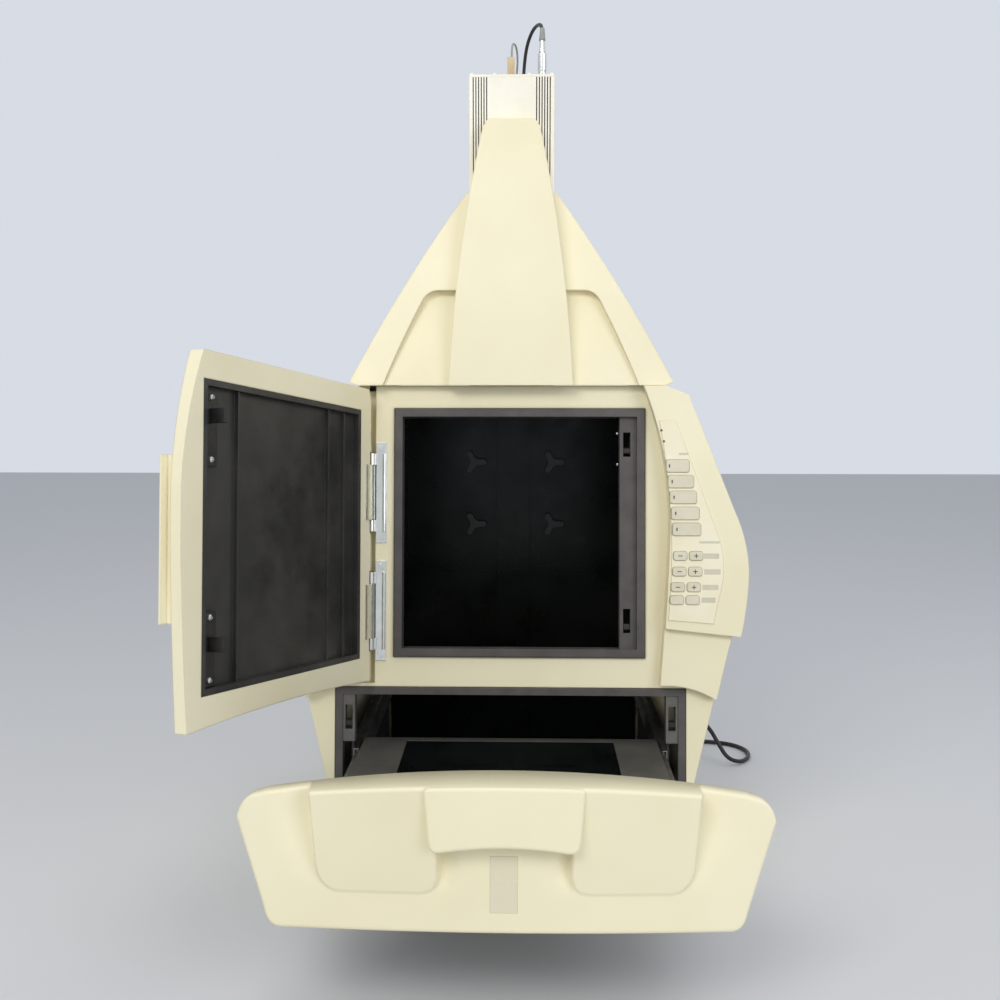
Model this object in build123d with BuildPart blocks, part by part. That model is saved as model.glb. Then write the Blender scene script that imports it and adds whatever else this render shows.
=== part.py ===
# Gel documentation system: cabinet with a swing-open door, a pull-out
# transilluminator drawer and a camera tower. Millimetres, +Z up, front towards -Y.
# The origin is at table height, under the middle of the whole object as it stands
# in its rest pose: door open, drawer out.
from build123d import *
from math import cos, radians, sin, tan
import os

os.makedirs("parts", exist_ok=True)

# Placing. Heights in this file are counted from the datum, a level above the table.
datum = 57.0
centre_x = 12.0          # the cabinet's middle plane
face_foot_y = -22.6      # where the leaning front face would meet the table
lean = 7.5               # backward lean of the front face, degrees
rear_y = 372.0           # outside of the cabinet's back
reach = 700.0            # longer than the object, for cutting tools

# Cabinet outline, half widths and heights, in front view
cabinet_bottom = -41.0
plinth_half = 214.6
plinth_top = 10.0
plate_low = cabinet_bottom - 2.0
plate_high = plate_low + 8.0
flank_half = 268.5
flank_height = 236.0
belly_half = 279.0
belly_height = 318.0
waist_half = 264.0
waist_height = 395.0
shoulder_half = 204.0
shoulder_height = 546.0
seam_half = 192.0
seam_height = 557.0
cabinet_wall = 4.0
rear_taper = 8.0
rear_round = 3.0
shell_start = -60.0

# Front bezel
plate_thickness = 4.0
strip_proud = 14.0
pod_proud = 22.0
pod_back = 12.0
pod_round = 6.0
pod_low = 252.0
pod_low_in = 262.0
pod_low_half = 282.0
pod_belly_half = 292.0
pod_belly_height = 330.0
pod_hip_half = 288.5
pod_hip_height = 288.0
pod_waist_half = 287.5
pod_waist_height = 367.0
pod_side_half = 275.0
pod_side_height = 404.0
pod_top_half = 219.0
pod_top_height = shoulder_height
fit_gap = 0.3

# Door recess, right-hand edge of it in front view
recess_top_half = 164.0
recess_high_half = 188.0
recess_high_height = 475.0
recess_mid_half = 195.5
recess_mid_height = 365.0
recess_low_mid_half = 192.0
recess_low_mid_height = 292.0
recess_low_half = 184.5
recess_corner_low = 534.0
arch_rise = 6.0
arch_height = 196.0
arch_step = 2.0
strip_low_half = 258.0
strip_low = 170.0
strip_mid_half = 222.0
strip_mid = 187.0

# Chamber opening and its frame
aperture_left = -146.0
aperture_right = 168.0
aperture_bottom = 220.5
aperture_top = 529.0
aperture_frame_width = 11.0
aperture_frame_proud = 5.0
keeper_width = 21.0

# Drawer opening and its frame
bay_half = 218.6
bay_bottom = 60.0
bay_top = 184.0
bay_frame_width = 10.0
bay_frame_proud = 0.3
bay_frame_depth = 14.0

# Door and its hinges
hinge_x = -173.0
hinge_proud = 8.0
trough_left = 22.5
door_angle = 110.2       # how far the door stands open at rest, degrees
door_left = -184.0
door_top_gap = 7.0
door_gap = 1.5
door_back = 6.0          # the door's inner face from the recess, when closed
door_edge_proud = 18.0
door_crown = 32.0
door_strip_back = 13.5   # inner face of the thinned strip beside the hinges
liner_left, liner_right = -142.0, 162.0
liner_low, liner_high = 223.0, 522.5
liner_depth = 10.0
liner_floor = 2.0
liner_rim = 6.0
knuckle_radius = 4.0
pin_radius = 1.6
pin_clearance = 0.08
hinge_heights = [(375.5, 471.8), (230.0, 325.2)]
hinge_plate_over = 14.0
leaf_width = 13.0
leaf_thickness = 1.5
handle_bottom = 293.0
handle_top = 449.0
lip_section = [(-26, 18.5), (-5, 14), (-4.4, 25.0), (3.8, 25.4), (4.6, 26.8), (2, 28.4),
               (-12, 27.6), (-26, 23)]

# Latches
hook_x = 145.0
hook_width = 5.0
hook_heights = [484.0, 266.0]
hook_tall = 14.0
hook_low = 2.5
latch_plate_width = 21.0
latch_plate_tall = 72.0
latch_plate_heights = [476.5, 265.8]
pawl_travel = 3.0
catch_width = 15.0
catch_tall = 60.0
drawer_catch_x = 195.0
drawer_catch_height = 146.0

# Drawer
drawer_out = 310.0
drawer_top = 194.0
drawer_bottom = 51.0
drawer_half_high = 255.0
drawer_high = 151.0
drawer_half_low = 223.0
drawer_gap = 0.6
drawer_wing = 15.0
drawer_wing_mid = 27.0
drawer_pad_out = 36.0
drawer_pad_mid = 45.0
drawer_tab = 50.0
hinge_spring_x = 2.5
hinge_spring_out = 8.6
hinge_spring_radius = 3.3
pad_outer = 184.0
pad_inner = 62.0
pad_bottom = 87.0
tab_half = 73.0
tab_bottom = 130.0
tab_arch = 5.0
pocket_back = 25.0
pocket_wall = 9.0
tray_half = 184.5
tray_top = 112.0
tray_bottom = 64.5
tray_wall = 2.0
tray_lid = 4.0
tray_back = 330.0
glass_half = 129.5
glass_back = 318.0
glass_front = 60.0
tube_radius = 8.0

# Slides
slide_height = 34.0
slide_low = 70.0
slide_inner = 3.5
slide_middle = 4.0
slide_outer = 3.5
slide_gap = 0.5
rail_wall = 3.0
rail_high = 112.0

# Chamber liner
sheet = 2.0
chamber_left = -164.0
chamber_right = 180.0
chamber_low = 200.0
chamber_top = 553.0
chamber_back = 345.0
band_half = 24.5
band_proud = 8.0
ledge_height = 273.5
lens_hole = 34.0

# Hood
hood_wall = 3.5
hood_top = 800.0
hood_top_half = 57.5
wing_mid_half = 135.0
wing_mid_height = 680.0
hood_front_top_y = 96.0
hood_rear_top_y = 211.0
hood_rear_height = 622.0
hood_rear_y = 368.0
ramp_bottom_half = 77.0
ramp_waist_half = 64.0
ramp_waist_height = 712.0
ramp_shoulder_half = 36.0
ramp_shoulder_height = 879.0
ramp_top_half = 29.5
ramp_top = 889.0
ramp_front_y = 30.0
ramp_top_y = 84.0
scoop_half = 161.0
scoop_ledge = 676.0
scoop_depth = 11.0

# Camera tower
tower_half = 54.5
tower_front = 98.0
tower_bottom = chamber_top
tower_top = 946.0
tower_wall = 6.0
groove_first = 31.5
groove_pitch = 3.4
groove_count = 6
groove_width = 1.3
groove_depth = 2.2
cap_thickness = 3.0

# Planes that everything is drawn on
FRONT = Plane(origin=(centre_x, 0, datum), x_dir=(1, 0, 0), z_dir=(0, -1, 0))
TOP = Plane(origin=(centre_x, 0, datum), x_dir=(1, 0, 0), z_dir=(0, 0, 1))
SIDE = Plane(origin=(centre_x, 0, datum), x_dir=(0, 1, 0), z_dir=(1, 0, 0))
lean_cos = cos(radians(lean))
lean_sin = sin(radians(lean))
out_dir = Vector(0, -lean_cos, lean_sin)
up_dir = Vector(0, lean_sin, lean_cos)
FACE = Plane(origin=(centre_x, face_foot_y, datum), x_dir=(1, 0, 0), z_dir=out_dir)


def face_y(height):
    """The y of the leaning face at a height."""
    return face_foot_y + height * tan(radians(lean))


def up(height):
    """A height turned into a distance up the leaning face."""
    return height / lean_cos


def block(x0, x1, y0, y1, z0, z1, mode=Mode.ADD):
    """Adds an upright block, its x counted from the middle plane."""
    with BuildSketch(TOP.offset(z0)) as ground:
        with Locations(((x0 + x1) / 2, (y0 + y1) / 2)):
            Rectangle(x1 - x0, y1 - y0)
    extrude(ground.sketch, amount=z1 - z0, mode=mode)


def face_block(x0, x1, z0, z1, back, front, mode=Mode.ADD, round_by=0):
    """Adds a block square to the leaning face, between two heights on it."""
    with BuildSketch(FACE.offset(back)) as ground:
        with Locations(((x0 + x1) / 2, (up(z0) + up(z1)) / 2)):
            if round_by:
                RectangleRounded(x1 - x0, up(z1) - up(z0), round_by)
            else:
                Rectangle(x1 - x0, up(z1) - up(z0))
    extrude(ground.sketch, amount=front - back, mode=mode)


def front_slab(outline, back, front):
    """A front-view outline as a slab between two offsets of the leaning face."""
    with BuildPart() as slab:
        extrude(outline, amount=reach, both=True)
        split(bisect_by=FACE.offset(front), keep=Keep.BOTTOM)
        split(bisect_by=FACE.offset(back), keep=Keep.TOP)
    return slab.part


def cabinet_outline(inset=0.0):
    """The cabinet's outline in front view."""
    with BuildSketch(FRONT) as outline:
        with BuildLine():
            Line((0, cabinet_bottom), (plinth_half, cabinet_bottom))
            Line((plinth_half, cabinet_bottom), (plinth_half, plinth_top))
            Line((plinth_half, plinth_top), (flank_half, flank_height))
            ThreePointArc((flank_half, flank_height), (belly_half, belly_height),
                          (waist_half, waist_height))
            Line((waist_half, waist_height), (shoulder_half, shoulder_height))
            Line((shoulder_half, shoulder_height), (seam_half, seam_height))
            Line((seam_half, seam_height), (0, seam_height))
            mirror(about=Plane.YZ)
        make_face()
        if inset:
            offset(amount=-inset, kind=Kind.INTERSECTION)
    return outline.sketch


def recess_outline(gap=0.0, left=None, top_gap=0.0, along=1.0):
    """The door's outline in front view, or with no gap the recess that holds it. Heights
    are times along, to draw it on the leaning plane."""
    low = (arch_height - arch_rise + gap) * along
    arch = (arch_height + gap) * along
    low_mid, mid = recess_low_mid_height * along, recess_mid_height * along
    corner, high = recess_high_height * along, (seam_height - top_gap) * along
    top_half, low_half = recess_top_half - gap, recess_low_half - gap
    with BuildSketch(FRONT) as outline:
        with BuildLine():
            ThreePointArc((top_half, high), (recess_high_half - gap, corner),
                          (recess_mid_half - gap, mid))
            ThreePointArc((recess_mid_half - gap, mid),
                          (recess_low_mid_half - gap, low_mid), (low_half, low))
            if left is None:
                ThreePointArc((low_half, low), (0, arch), (-low_half, low))
                ThreePointArc((-low_half, low), (-recess_low_mid_half + gap, low_mid),
                              (-recess_mid_half + gap, mid))
                ThreePointArc((-recess_mid_half + gap, mid),
                              (-recess_high_half + gap, corner), (-top_half, high))
            else:
                ThreePointArc((low_half, low), (0, arch), (left, low))
                Line((left, low), (left, corner))
                Line((left, corner), (-top_half, high))
            Line((-top_half, high), (top_half, high))
        make_face()
    return outline.sketch


def pod_outline():
    """The two ears beside the door in front view, with the recess cut out."""
    recess = FRONT.to_local_coords(recess_outline())
    with BuildSketch(FRONT) as outline:
        with BuildLine():
            Line((0, pod_low_in), (recess_low_half, pod_low_in))
            Line((recess_low_half, pod_low_in), (pod_low_half, pod_low))
            ThreePointArc((pod_low_half, pod_low), (pod_hip_half, pod_hip_height),
                          (pod_belly_half, pod_belly_height))
            ThreePointArc((pod_belly_half, pod_belly_height), (pod_waist_half, pod_waist_height),
                          (pod_side_half, pod_side_height))
            Line((pod_side_half, pod_side_height), (pod_top_half, pod_top_height))
            Line((pod_top_half, pod_top_height), (seam_half, seam_height))
            Line((seam_half, seam_height), (0, seam_height))
            mirror(about=Plane.YZ)
        make_face()
        add(recess, mode=Mode.SUBTRACT)
    return outline.sketch


def ear_back_outline():
    """The part of the ears that stands out beyond the side covers."""
    ears = FRONT.to_local_coords(pod_outline())
    cabinet = FRONT.to_local_coords(cabinet_outline(-fit_gap))
    with BuildSketch(FRONT) as outline:
        add(ears)
        add(cabinet, mode=Mode.SUBTRACT)
    return outline.sketch


def strip_outline():
    """The body's front surface between the door recess and the flanks."""
    cabinet = FRONT.to_local_coords(cabinet_outline())
    recess = FRONT.to_local_coords(recess_outline())
    with BuildSketch(FRONT) as outline:
        add(cabinet)
        add(recess, mode=Mode.SUBTRACT)
        low = arch_height - arch_rise
        with BuildLine():
            Line((0, -reach), (reach, -reach))
            Line((reach, -reach), (reach, strip_low))
            Line((reach, strip_low), (strip_low_half, strip_low))
            ThreePointArc((strip_low_half, strip_low), (strip_mid_half, strip_mid),
                          (recess_low_half, low))
            Line((recess_low_half, low), (0, arch_height + 3 * arch_rise))
            mirror(about=Plane.YZ)
        make_face(mode=Mode.SUBTRACT)
    return outline.sketch


# Base plate with its folded rail walls
rail_x = tray_half + slide_inner + slide_middle + slide_outer + 2 * slide_gap
with BuildPart() as base_plate:
    for side in (-1, 1):
        inner, outer = side * rail_x, side * (rail_x + rail_wall)
        block(min(inner, outer), max(inner, outer), -30, chamber_back - 5, plate_high,
              rail_high)
    split(bisect_by=FACE.offset(-bay_frame_depth - fit_gap), keep=Keep.BOTTOM)
    block(-rail_x - rail_wall, rail_x + rail_wall, -60, rear_y - 4, plate_low, plate_high)
    split(bisect_by=FACE.offset(-plate_thickness), keep=Keep.BOTTOM)
base_plate.part.label = "base_plate"
export_step(base_plate.part, "parts/base_plate.step")

# Rubber feet
with BuildPart() as feet:
    with BuildSketch(TOP.offset(-datum)):
        with Locations((-168, 6), (168, 6), (-168, 342), (168, 342)):
            Circle(17)
    extrude(amount=datum + plate_low)
    chamfer(feet.faces().group_by(Axis.Z)[0].edges(), length=2.5)
feet.part.label = "feet"
export_step(feet.part, "parts/feet.step")


with BuildPart() as trough:
    face_block(hinge_x - trough_left - 3, hinge_x + 7, 185, 553, -14, -plate_thickness)
    add(front_slab(cabinet_outline(cabinet_wall + 3), -15, -plate_thickness),
        mode=Mode.INTERSECT)

# Front bezel: leaning plate, side strips, ears, swing trough and the two openings
with BuildPart() as front_bezel:
    add(front_slab(cabinet_outline(), -plate_thickness, 0))
    add(front_slab(strip_outline(), 0, strip_proud))
    add(front_slab(pod_outline(), -plate_thickness, pod_proud))
    add(front_slab(ear_back_outline(), -pod_back, -plate_thickness))
    # The door's swing trough beside the hinge line
    add(trough.part)
    face_block(hinge_x - trough_left, hinge_x + 4, 188, 560, -11, pod_proud + 9,
               mode=Mode.SUBTRACT)
    face_block(hinge_x, -recess_top_half - 0.5, recess_corner_low, 560, 0, pod_proud + 9,
               mode=Mode.SUBTRACT)
    face_block(aperture_left, aperture_right, aperture_bottom, aperture_top,
               -plate_thickness - 1, 1, mode=Mode.SUBTRACT)
    face_block(-bay_half, bay_half, bay_bottom, bay_top, -plate_thickness - 1, 1,
               mode=Mode.SUBTRACT)


def shell_form(inset, back):
    """The cabinet as a solid that narrows towards the back, its rear edge rounded."""
    near = FRONT.to_local_coords(cabinet_outline(inset))
    with BuildSketch(FRONT.offset(-back)) as far:
        add(near)
        scale(by=((flank_half - rear_taper) / flank_half, 1, 1))
    with BuildPart() as form:
        loft([cabinet_outline(inset).moved(Location((0, shell_start, 0))), far.sketch],
             ruled=True)
        if inset == 0:
            fillet(form.faces().sort_by(Axis.Y)[-1].edges(), rear_round)
    return form.part


# Side covers: two moulded shells, and the steel back between them
shell_ring = shell_form(0, rear_y) - shell_form(cabinet_wall, rear_y)
for side, side_name in ((-1, "left"), (1, "right")):
    with BuildPart() as side_cover:
        add(shell_ring)
        split(bisect_by=FACE.offset(-plate_thickness), keep=Keep.BOTTOM)
        inner_x = seam_half - 14
        block(-reach if side > 0 else -inner_x, inner_x if side > 0 else reach,
              -reach, reach, -reach, reach, mode=Mode.SUBTRACT)
        cleared = rail_x + rail_wall + fit_gap
        block(-cleared, cleared, -reach, reach, -reach, plinth_top,
              mode=Mode.SUBTRACT)
    side_cover.part.label = "side_cover_" + side_name
    export_step(side_cover.part, "parts/side_cover_" + side_name + ".step")

fan_x, fan_z, fan_size = 110.0, 250.0, 80.0
fan_bore = 37.0
inlet_x, inlet_z = 150.0, 40.0
inlet_w, inlet_h = 28.0, 50.0
panel_back = rear_y - 2.0
panel_front = panel_back - sheet
with BuildPart() as rear_panel:
    add(shell_form(cabinet_wall + fit_gap, rear_y))
    block(-reach, reach, -reach, panel_front, -reach, reach, mode=Mode.SUBTRACT)
    block(-reach, reach, panel_back, reach, -reach, reach, mode=Mode.SUBTRACT)
    block(-reach, reach, 0, reach, -reach, plate_high, mode=Mode.SUBTRACT)
    with BuildSketch(FRONT.offset(-rear_y)):
        with Locations((fan_x, fan_z)):
            Circle(fan_bore)
            for ring in (12, 24):
                Circle(ring + 1.5, mode=Mode.SUBTRACT)
                Circle(ring - 1.5)
            Rectangle(3, 2 * fan_bore, mode=Mode.SUBTRACT)
            Rectangle(2 * fan_bore, 3, mode=Mode.SUBTRACT)
        with Locations((inlet_x, inlet_z)):
            Rectangle(inlet_w, inlet_h)
        with Locations((-110, 200)):
            with GridLocations(0, 12, 1, 10):
                SlotOverall(90, 4)
        with Locations((-120, 420), (120, 420)):
            with GridLocations(0, 12, 1, 6):
                SlotOverall(70, 4)
    extrude(amount=10, mode=Mode.SUBTRACT)
rear_panel.part.label = "rear_panel"
export_step(rear_panel.part, "parts/rear_panel.step")


# Chamber liner: folded black sheet, open at the front and below
with BuildPart() as chamber_liner:
    block(-rail_x + 3, rail_x - 3, chamber_back, chamber_back + sheet, plate_high,
          chamber_low)
    block(chamber_left - sheet, chamber_right + sheet, chamber_back, chamber_back + sheet,
          chamber_low, chamber_top)
    block(-band_half, band_half, chamber_back - band_proud, chamber_back, plate_high,
          chamber_top)
    for near, far in ((chamber_left - 4, -band_half), (band_half, chamber_right + 4)):
        block(near, far, chamber_back - 3, chamber_back, ledge_height - 4, ledge_height)
    block(chamber_left - sheet, chamber_left, -60, chamber_back, chamber_low, chamber_top)
    block(chamber_right, chamber_right + sheet, -60, chamber_back, chamber_low, chamber_top)
    block(chamber_left - sheet, chamber_right + sheet, -60, chamber_back + sheet,
          chamber_top - sheet, chamber_top)
    split(bisect_by=FACE.offset(-plate_thickness), keep=Keep.BOTTOM)
    with BuildSketch(TOP.offset(chamber_top)):
        with Locations((0, (tower_front + tower_front + 2 * tower_half) / 2)):
            Circle(lens_hole)
    extrude(amount=-10, mode=Mode.SUBTRACT)
chamber_liner.part.label = "chamber_liner"
export_step(chamber_liner.part, "parts/chamber_liner.step")

# Tri-lobe knobs on the chamber's back wall
knob_x, knob_high, knob_low = 60.0, 440.0, 344.0
with BuildPart() as trilobe_knobs:
    with BuildSketch(FRONT.offset(-chamber_back)):
        for place in ((-knob_x, knob_low), (knob_x, knob_low),
                      (-knob_x, knob_high), (knob_x, knob_high)):
            with Locations(place):
                Circle(7)
                with PolarLocations(6.5, 3, start_angle=0):
                    Rectangle(15, 9)
                with PolarLocations(14, 3):
                    Circle(4.5)
    extrude(amount=9)
trilobe_knobs.part.label = "trilobe_knobs"
export_step(trilobe_knobs.part, "parts/trilobe_knobs.step")

# Frame of the chamber opening, with the keeper strip that holds the catches
slot_w, slot_h = 9.0, 30.0
with BuildPart() as aperture_frame:
    face_block(aperture_left + fit_gap, aperture_right - fit_gap, aperture_bottom + fit_gap,
               aperture_top - fit_gap, -18, aperture_frame_proud)
    chamfer(aperture_frame.faces().sort_by(SortBy.AREA)[-1].edges(), length=1.5)
    face_block(aperture_left + aperture_frame_width, aperture_right - aperture_frame_width,
               aperture_bottom + aperture_frame_width, aperture_top - aperture_frame_width,
               -19, aperture_frame_proud + 1, mode=Mode.SUBTRACT)
    # The keeper strip, set back, with a slot and a pocket for each pawl
    strip_right = aperture_right - aperture_frame_width
    face_block(strip_right - keeper_width, strip_right,
               aperture_bottom + aperture_frame_width, aperture_top - aperture_frame_width,
               -18, -1)
    for height in hook_heights:
        face_block(hook_x - slot_w / 2, hook_x + slot_w / 2, height - slot_h / 2,
                   height + slot_h / 2, -19, 0, mode=Mode.SUBTRACT)
aperture_frame.part.label = "aperture_frame"
export_step(aperture_frame.part, "parts/aperture_frame.step")

# Frame of the drawer opening
with BuildPart() as bay_frame:
    face_block(-bay_half + fit_gap, bay_half - fit_gap, bay_bottom + fit_gap,
               bay_top - fit_gap, -bay_frame_depth, bay_frame_proud)
    chamfer(bay_frame.faces().sort_by(SortBy.AREA)[-1].edges(), length=1.2)
    face_block(-bay_half + bay_frame_width, bay_half - bay_frame_width,
               bay_bottom + 3, bay_top - bay_frame_width,
               -bay_frame_depth - 1, bay_frame_proud + 1, mode=Mode.SUBTRACT)
bay_frame.part.label = "bay_frame"
export_step(bay_frame.part, "parts/bay_frame.step")

# Catch housings of the drawer, on the bay frame's inner sides
drawer_catch_half = bay_half - bay_frame_width
with BuildPart() as drawer_catches:
    for side in (-1, 1):
        a, b = side * drawer_catch_half, side * (drawer_catch_half - catch_width)
        face_block(min(a, b), max(a, b), drawer_catch_height - catch_tall / 2,
                   bay_top - bay_frame_width, -bay_frame_depth, -1)
        x = side * (drawer_catch_half - catch_width / 2)
        face_block(x - slot_w / 2, x + slot_w / 2, drawer_catch_height - slot_h / 2,
                   drawer_catch_height + slot_h / 2, -bay_frame_depth - 1, 0,
                   mode=Mode.SUBTRACT)
drawer_catches.part.label = "drawer_catches"
export_step(drawer_catches.part, "parts/drawer_catches.step")

# Sprung pawls, one in each slot, above the space that the hook needs
pawl_w, pawl_h, pawl_deep = slot_w - 0.6, 8.0, 9.0
pawl_places = [("door_pawl_upper", hook_x, hook_heights[0]),
               ("door_pawl_lower", hook_x, hook_heights[1]),
               ("drawer_pawl_left", -drawer_catch_half + catch_width / 2,
                drawer_catch_height),
               ("drawer_pawl_right", drawer_catch_half - catch_width / 2,
                drawer_catch_height)]
for pawl_name, x, height in pawl_places:
    with BuildPart() as pawl:
        low = height - slot_h / 2 + pawl_travel + 0.3
        face_block(x - pawl_w / 2, x + pawl_w / 2, low, low + pawl_h,
                   -2 - pawl_deep, -2)
        chamfer(pawl.edges().filter_by(Axis.X).sort_by(Axis.Y)[:2], length=1.5)
    pawl.part.label = pawl_name
    export_step(pawl.part, "parts/" + pawl_name + ".step")


# The open door's own planes: along it from the hinge axis, outwards, and up
swing = radians(door_angle)
door_dir = Vector(cos(swing), 0, 0) + out_dir * sin(swing)
door_out = out_dir * cos(swing) - Vector(sin(swing), 0, 0)
hinge_point = Vector(centre_x + hinge_x, face_foot_y, datum) + out_dir * hinge_proud
DOOR = Plane(origin=hinge_point, x_dir=door_dir, z_dir=door_out)
DOOR_PLAN = Plane(origin=hinge_point, x_dir=door_dir, z_dir=up_dir * -1)


def door_block(x0, x1, z0, z1, back, front, mode=Mode.ADD, round_by=0):
    """Adds a block to the door: x from the cabinet's middle and offsets from the
    recess as on the closed door, heights as on the closed door."""
    with BuildSketch(DOOR.offset(back - hinge_proud)) as ground:
        with Locations(((x0 + x1) / 2 - hinge_x, (up(z0) + up(z1)) / 2)):
            if round_by:
                RectangleRounded(x1 - x0, up(z1) - up(z0), round_by)
            else:
                Rectangle(x1 - x0, up(z1) - up(z0))
    extrude(ground.sketch, amount=front - back, mode=mode)


def door_cylinder(x, offset_out, z0, z1, radius, mode=Mode.ADD):
    """Adds an upright cylinder to the door, placed as on the closed door."""
    with BuildSketch(Plane(origin=hinge_point + up_dir * up(z0), x_dir=door_dir,
                           z_dir=up_dir)) as ground:
        with Locations((x - hinge_x, hinge_proud - offset_out)):
            Circle(radius)
    extrude(ground.sketch, amount=up(z1) - up(z0), mode=mode)


def door_sketch(offset_out):
    """The door's outline on the door's own plane."""
    flat = recess_outline(door_gap, door_left, door_top_gap, 1 / lean_cos)
    flat = FRONT.to_local_coords(flat)
    with BuildSketch(DOOR.offset(offset_out - hinge_proud)) as outline:
        add(flat.moved(Location((-hinge_x, 0, 0))))
    return outline.sketch


door_right = recess_mid_half - door_gap
with BuildPart() as door_shell:
    extrude(door_sketch(door_back), amount=door_crown - door_back + 2)
    with BuildSketch(DOOR_PLAN) as crown:
        with BuildLine():
            Line((door_left - hinge_x, -hinge_proud), (door_left - hinge_x,
                                                       door_edge_proud - hinge_proud))
            ThreePointArc((door_left - hinge_x, door_edge_proud - hinge_proud),
                          ((door_left + door_right) / 2 - hinge_x,
                           door_crown - hinge_proud),
                          (door_right - hinge_x, door_edge_proud - hinge_proud))
            Line((door_right - hinge_x, door_edge_proud - hinge_proud),
                 (door_right - hinge_x, -hinge_proud))
            Line((door_right - hinge_x, -hinge_proud), (door_left - hinge_x, -hinge_proud))
        make_face()
    extrude(crown.sketch, amount=-reach, mode=Mode.INTERSECT)
    # Pull lip on the free edge
    with BuildSketch(Plane(origin=hinge_point + up_dir * up(handle_bottom),
                           x_dir=door_dir, z_dir=up_dir * -1)) as lip:
        with BuildLine():
            Polyline([(door_right - hinge_x + x, offset_out - hinge_proud)
                      for x, offset_out in lip_section], close=True)
        make_face()
    extrude(lip.sketch, amount=-(up(handle_top) - up(handle_bottom)))
    # Pocket for the liner, thinned strip and notches beside the hinges
    door_block(liner_left - fit_gap, liner_right + fit_gap, liner_low - fit_gap,
               liner_high + fit_gap, door_back - 1, door_back + liner_depth,
               mode=Mode.SUBTRACT)
    door_block(door_left - 1, hinge_x + 6, 100, 600, door_back - 1, door_strip_back,
               mode=Mode.SUBTRACT)
    for low, high in hinge_heights:
        door_block(door_left - 1, hinge_x + 8, low - 2, high + 2, door_back - 1,
                   door_crown, mode=Mode.SUBTRACT)
door_shell.part.label = "door_shell"
export_step(door_shell.part, "parts/door_shell.step")

rib_places = [-107.0, -72.0, 102.0]
with BuildPart() as door_liner:
    door_block(liner_left, liner_right, liner_low, liner_high, door_back,
               door_back + liner_depth)
    door_block(liner_left + liner_rim, liner_right - liner_rim, liner_low + liner_rim,
               liner_high - liner_rim, door_back - 1,
               door_back + liner_depth - liner_floor, mode=Mode.SUBTRACT)
    for x in rib_places:
        door_block(x - 1.2, x + 1.2, liner_low + liner_rim, liner_high - liner_rim,
                   door_back + 3, door_back + liner_depth - liner_floor)
door_liner.part.label = "door_liner"
export_step(door_liner.part, "parts/door_liner.step")

# Latch plates on the liner, each with its hook
with BuildPart() as latch_plates:
    floor = door_back + liner_depth - liner_floor
    for plate_z, hook_z in zip(latch_plate_heights, hook_heights):
        door_block(hook_x - latch_plate_width / 2, hook_x + latch_plate_width / 2,
                   plate_z - latch_plate_tall / 2, plate_z + latch_plate_tall / 2,
                   floor - 3, floor)
        door_block(hook_x - hook_width / 2, hook_x + hook_width / 2, hook_z - hook_low, hook_z - hook_low + hook_tall,
                   -7, floor)
latch_plates.part.label = "latch_plates"
export_step(latch_plates.part, "parts/latch_plates.step")


def face_cylinder(x, offset_out, z0, z1, radius, mode=Mode.ADD):
    """Adds a cylinder that runs up the leaning face."""
    foot = Vector(centre_x + x, face_foot_y, datum) + out_dir * offset_out + up_dir * up(z0)
    with BuildSketch(Plane(origin=foot, x_dir=(1, 0, 0), z_dir=up_dir)) as ground:
        Circle(radius)
    extrude(ground.sketch, amount=up(z1) - up(z0), mode=mode)


def stud(plane, places, radius, height):
    """Adds round heads on a plane at the given local places."""
    with BuildSketch(plane) as heads:
        with Locations(*places):
            Circle(radius)
    extrude(heads.sketch, amount=height)


# Hinges: fixed leaves with their pins, and the leaves that swing with the door
fixed_knuckle = 14.0
running_gap = 0.4
with BuildPart() as hinge_fixed_leaves:
    leaf_left = hinge_x + 5
    for low, high in hinge_heights:
        face_block(leaf_left, leaf_left + leaf_width, low - hinge_plate_over,
                   high + hinge_plate_over, 0, leaf_thickness)
        face_cylinder(leaf_left + leaf_width - 3, leaf_thickness, low, high, 2.2)
        face_block(leaf_left, leaf_left + leaf_width, low, high, -3, 0, mode=Mode.SUBTRACT)
        for z0 in (low, high - fixed_knuckle):
            face_cylinder(hinge_x, hinge_proud, z0, z0 + fixed_knuckle, knuckle_radius)
            face_block(hinge_x - 3, hinge_x + 6, z0, z0 + fixed_knuckle, leaf_thickness,
                       hinge_proud - 2.5)
            face_block(hinge_x, hinge_x + 6, z0, z0 + fixed_knuckle, 0, leaf_thickness)
        face_cylinder(hinge_x, hinge_proud, low, high, pin_radius)
        screw_z = (low - hinge_plate_over / 2, high + hinge_plate_over / 2)
        stud(FACE.offset(leaf_thickness), [(leaf_left + 6, up(z)) for z in screw_z], 3.4, 1.6)
hinge_fixed_leaves.part.label = "hinge_fixed_leaves"
export_step(hinge_fixed_leaves.part, "parts/hinge_fixed_leaves.step")

with BuildPart() as hinge_moving_leaves:
    for low, high in hinge_heights:
        z0 = low + fixed_knuckle + running_gap
        z1 = high - fixed_knuckle - running_gap
        door_cylinder(hinge_x, hinge_proud, z0, z1, knuckle_radius)
        door_block(hinge_x + 1, hinge_x + 20, z0, z1, door_back - leaf_thickness, door_back)
        door_block(hinge_x + hinge_spring_x - 1.5, hinge_x + hinge_spring_x + 1.5, z0, z1,
                   hinge_proud + 2, hinge_proud + hinge_spring_out)
        door_cylinder(hinge_x + hinge_spring_x, hinge_proud + hinge_spring_out, z0, z1,
                      hinge_spring_radius)
        door_cylinder(hinge_x, hinge_proud, z0 - 1, z1 + 1, pin_radius + pin_clearance,
                      mode=Mode.SUBTRACT)
hinge_moving_leaves.part.label = "hinge_moving_leaves"
export_step(hinge_moving_leaves.part, "parts/hinge_moving_leaves.step")

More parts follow.
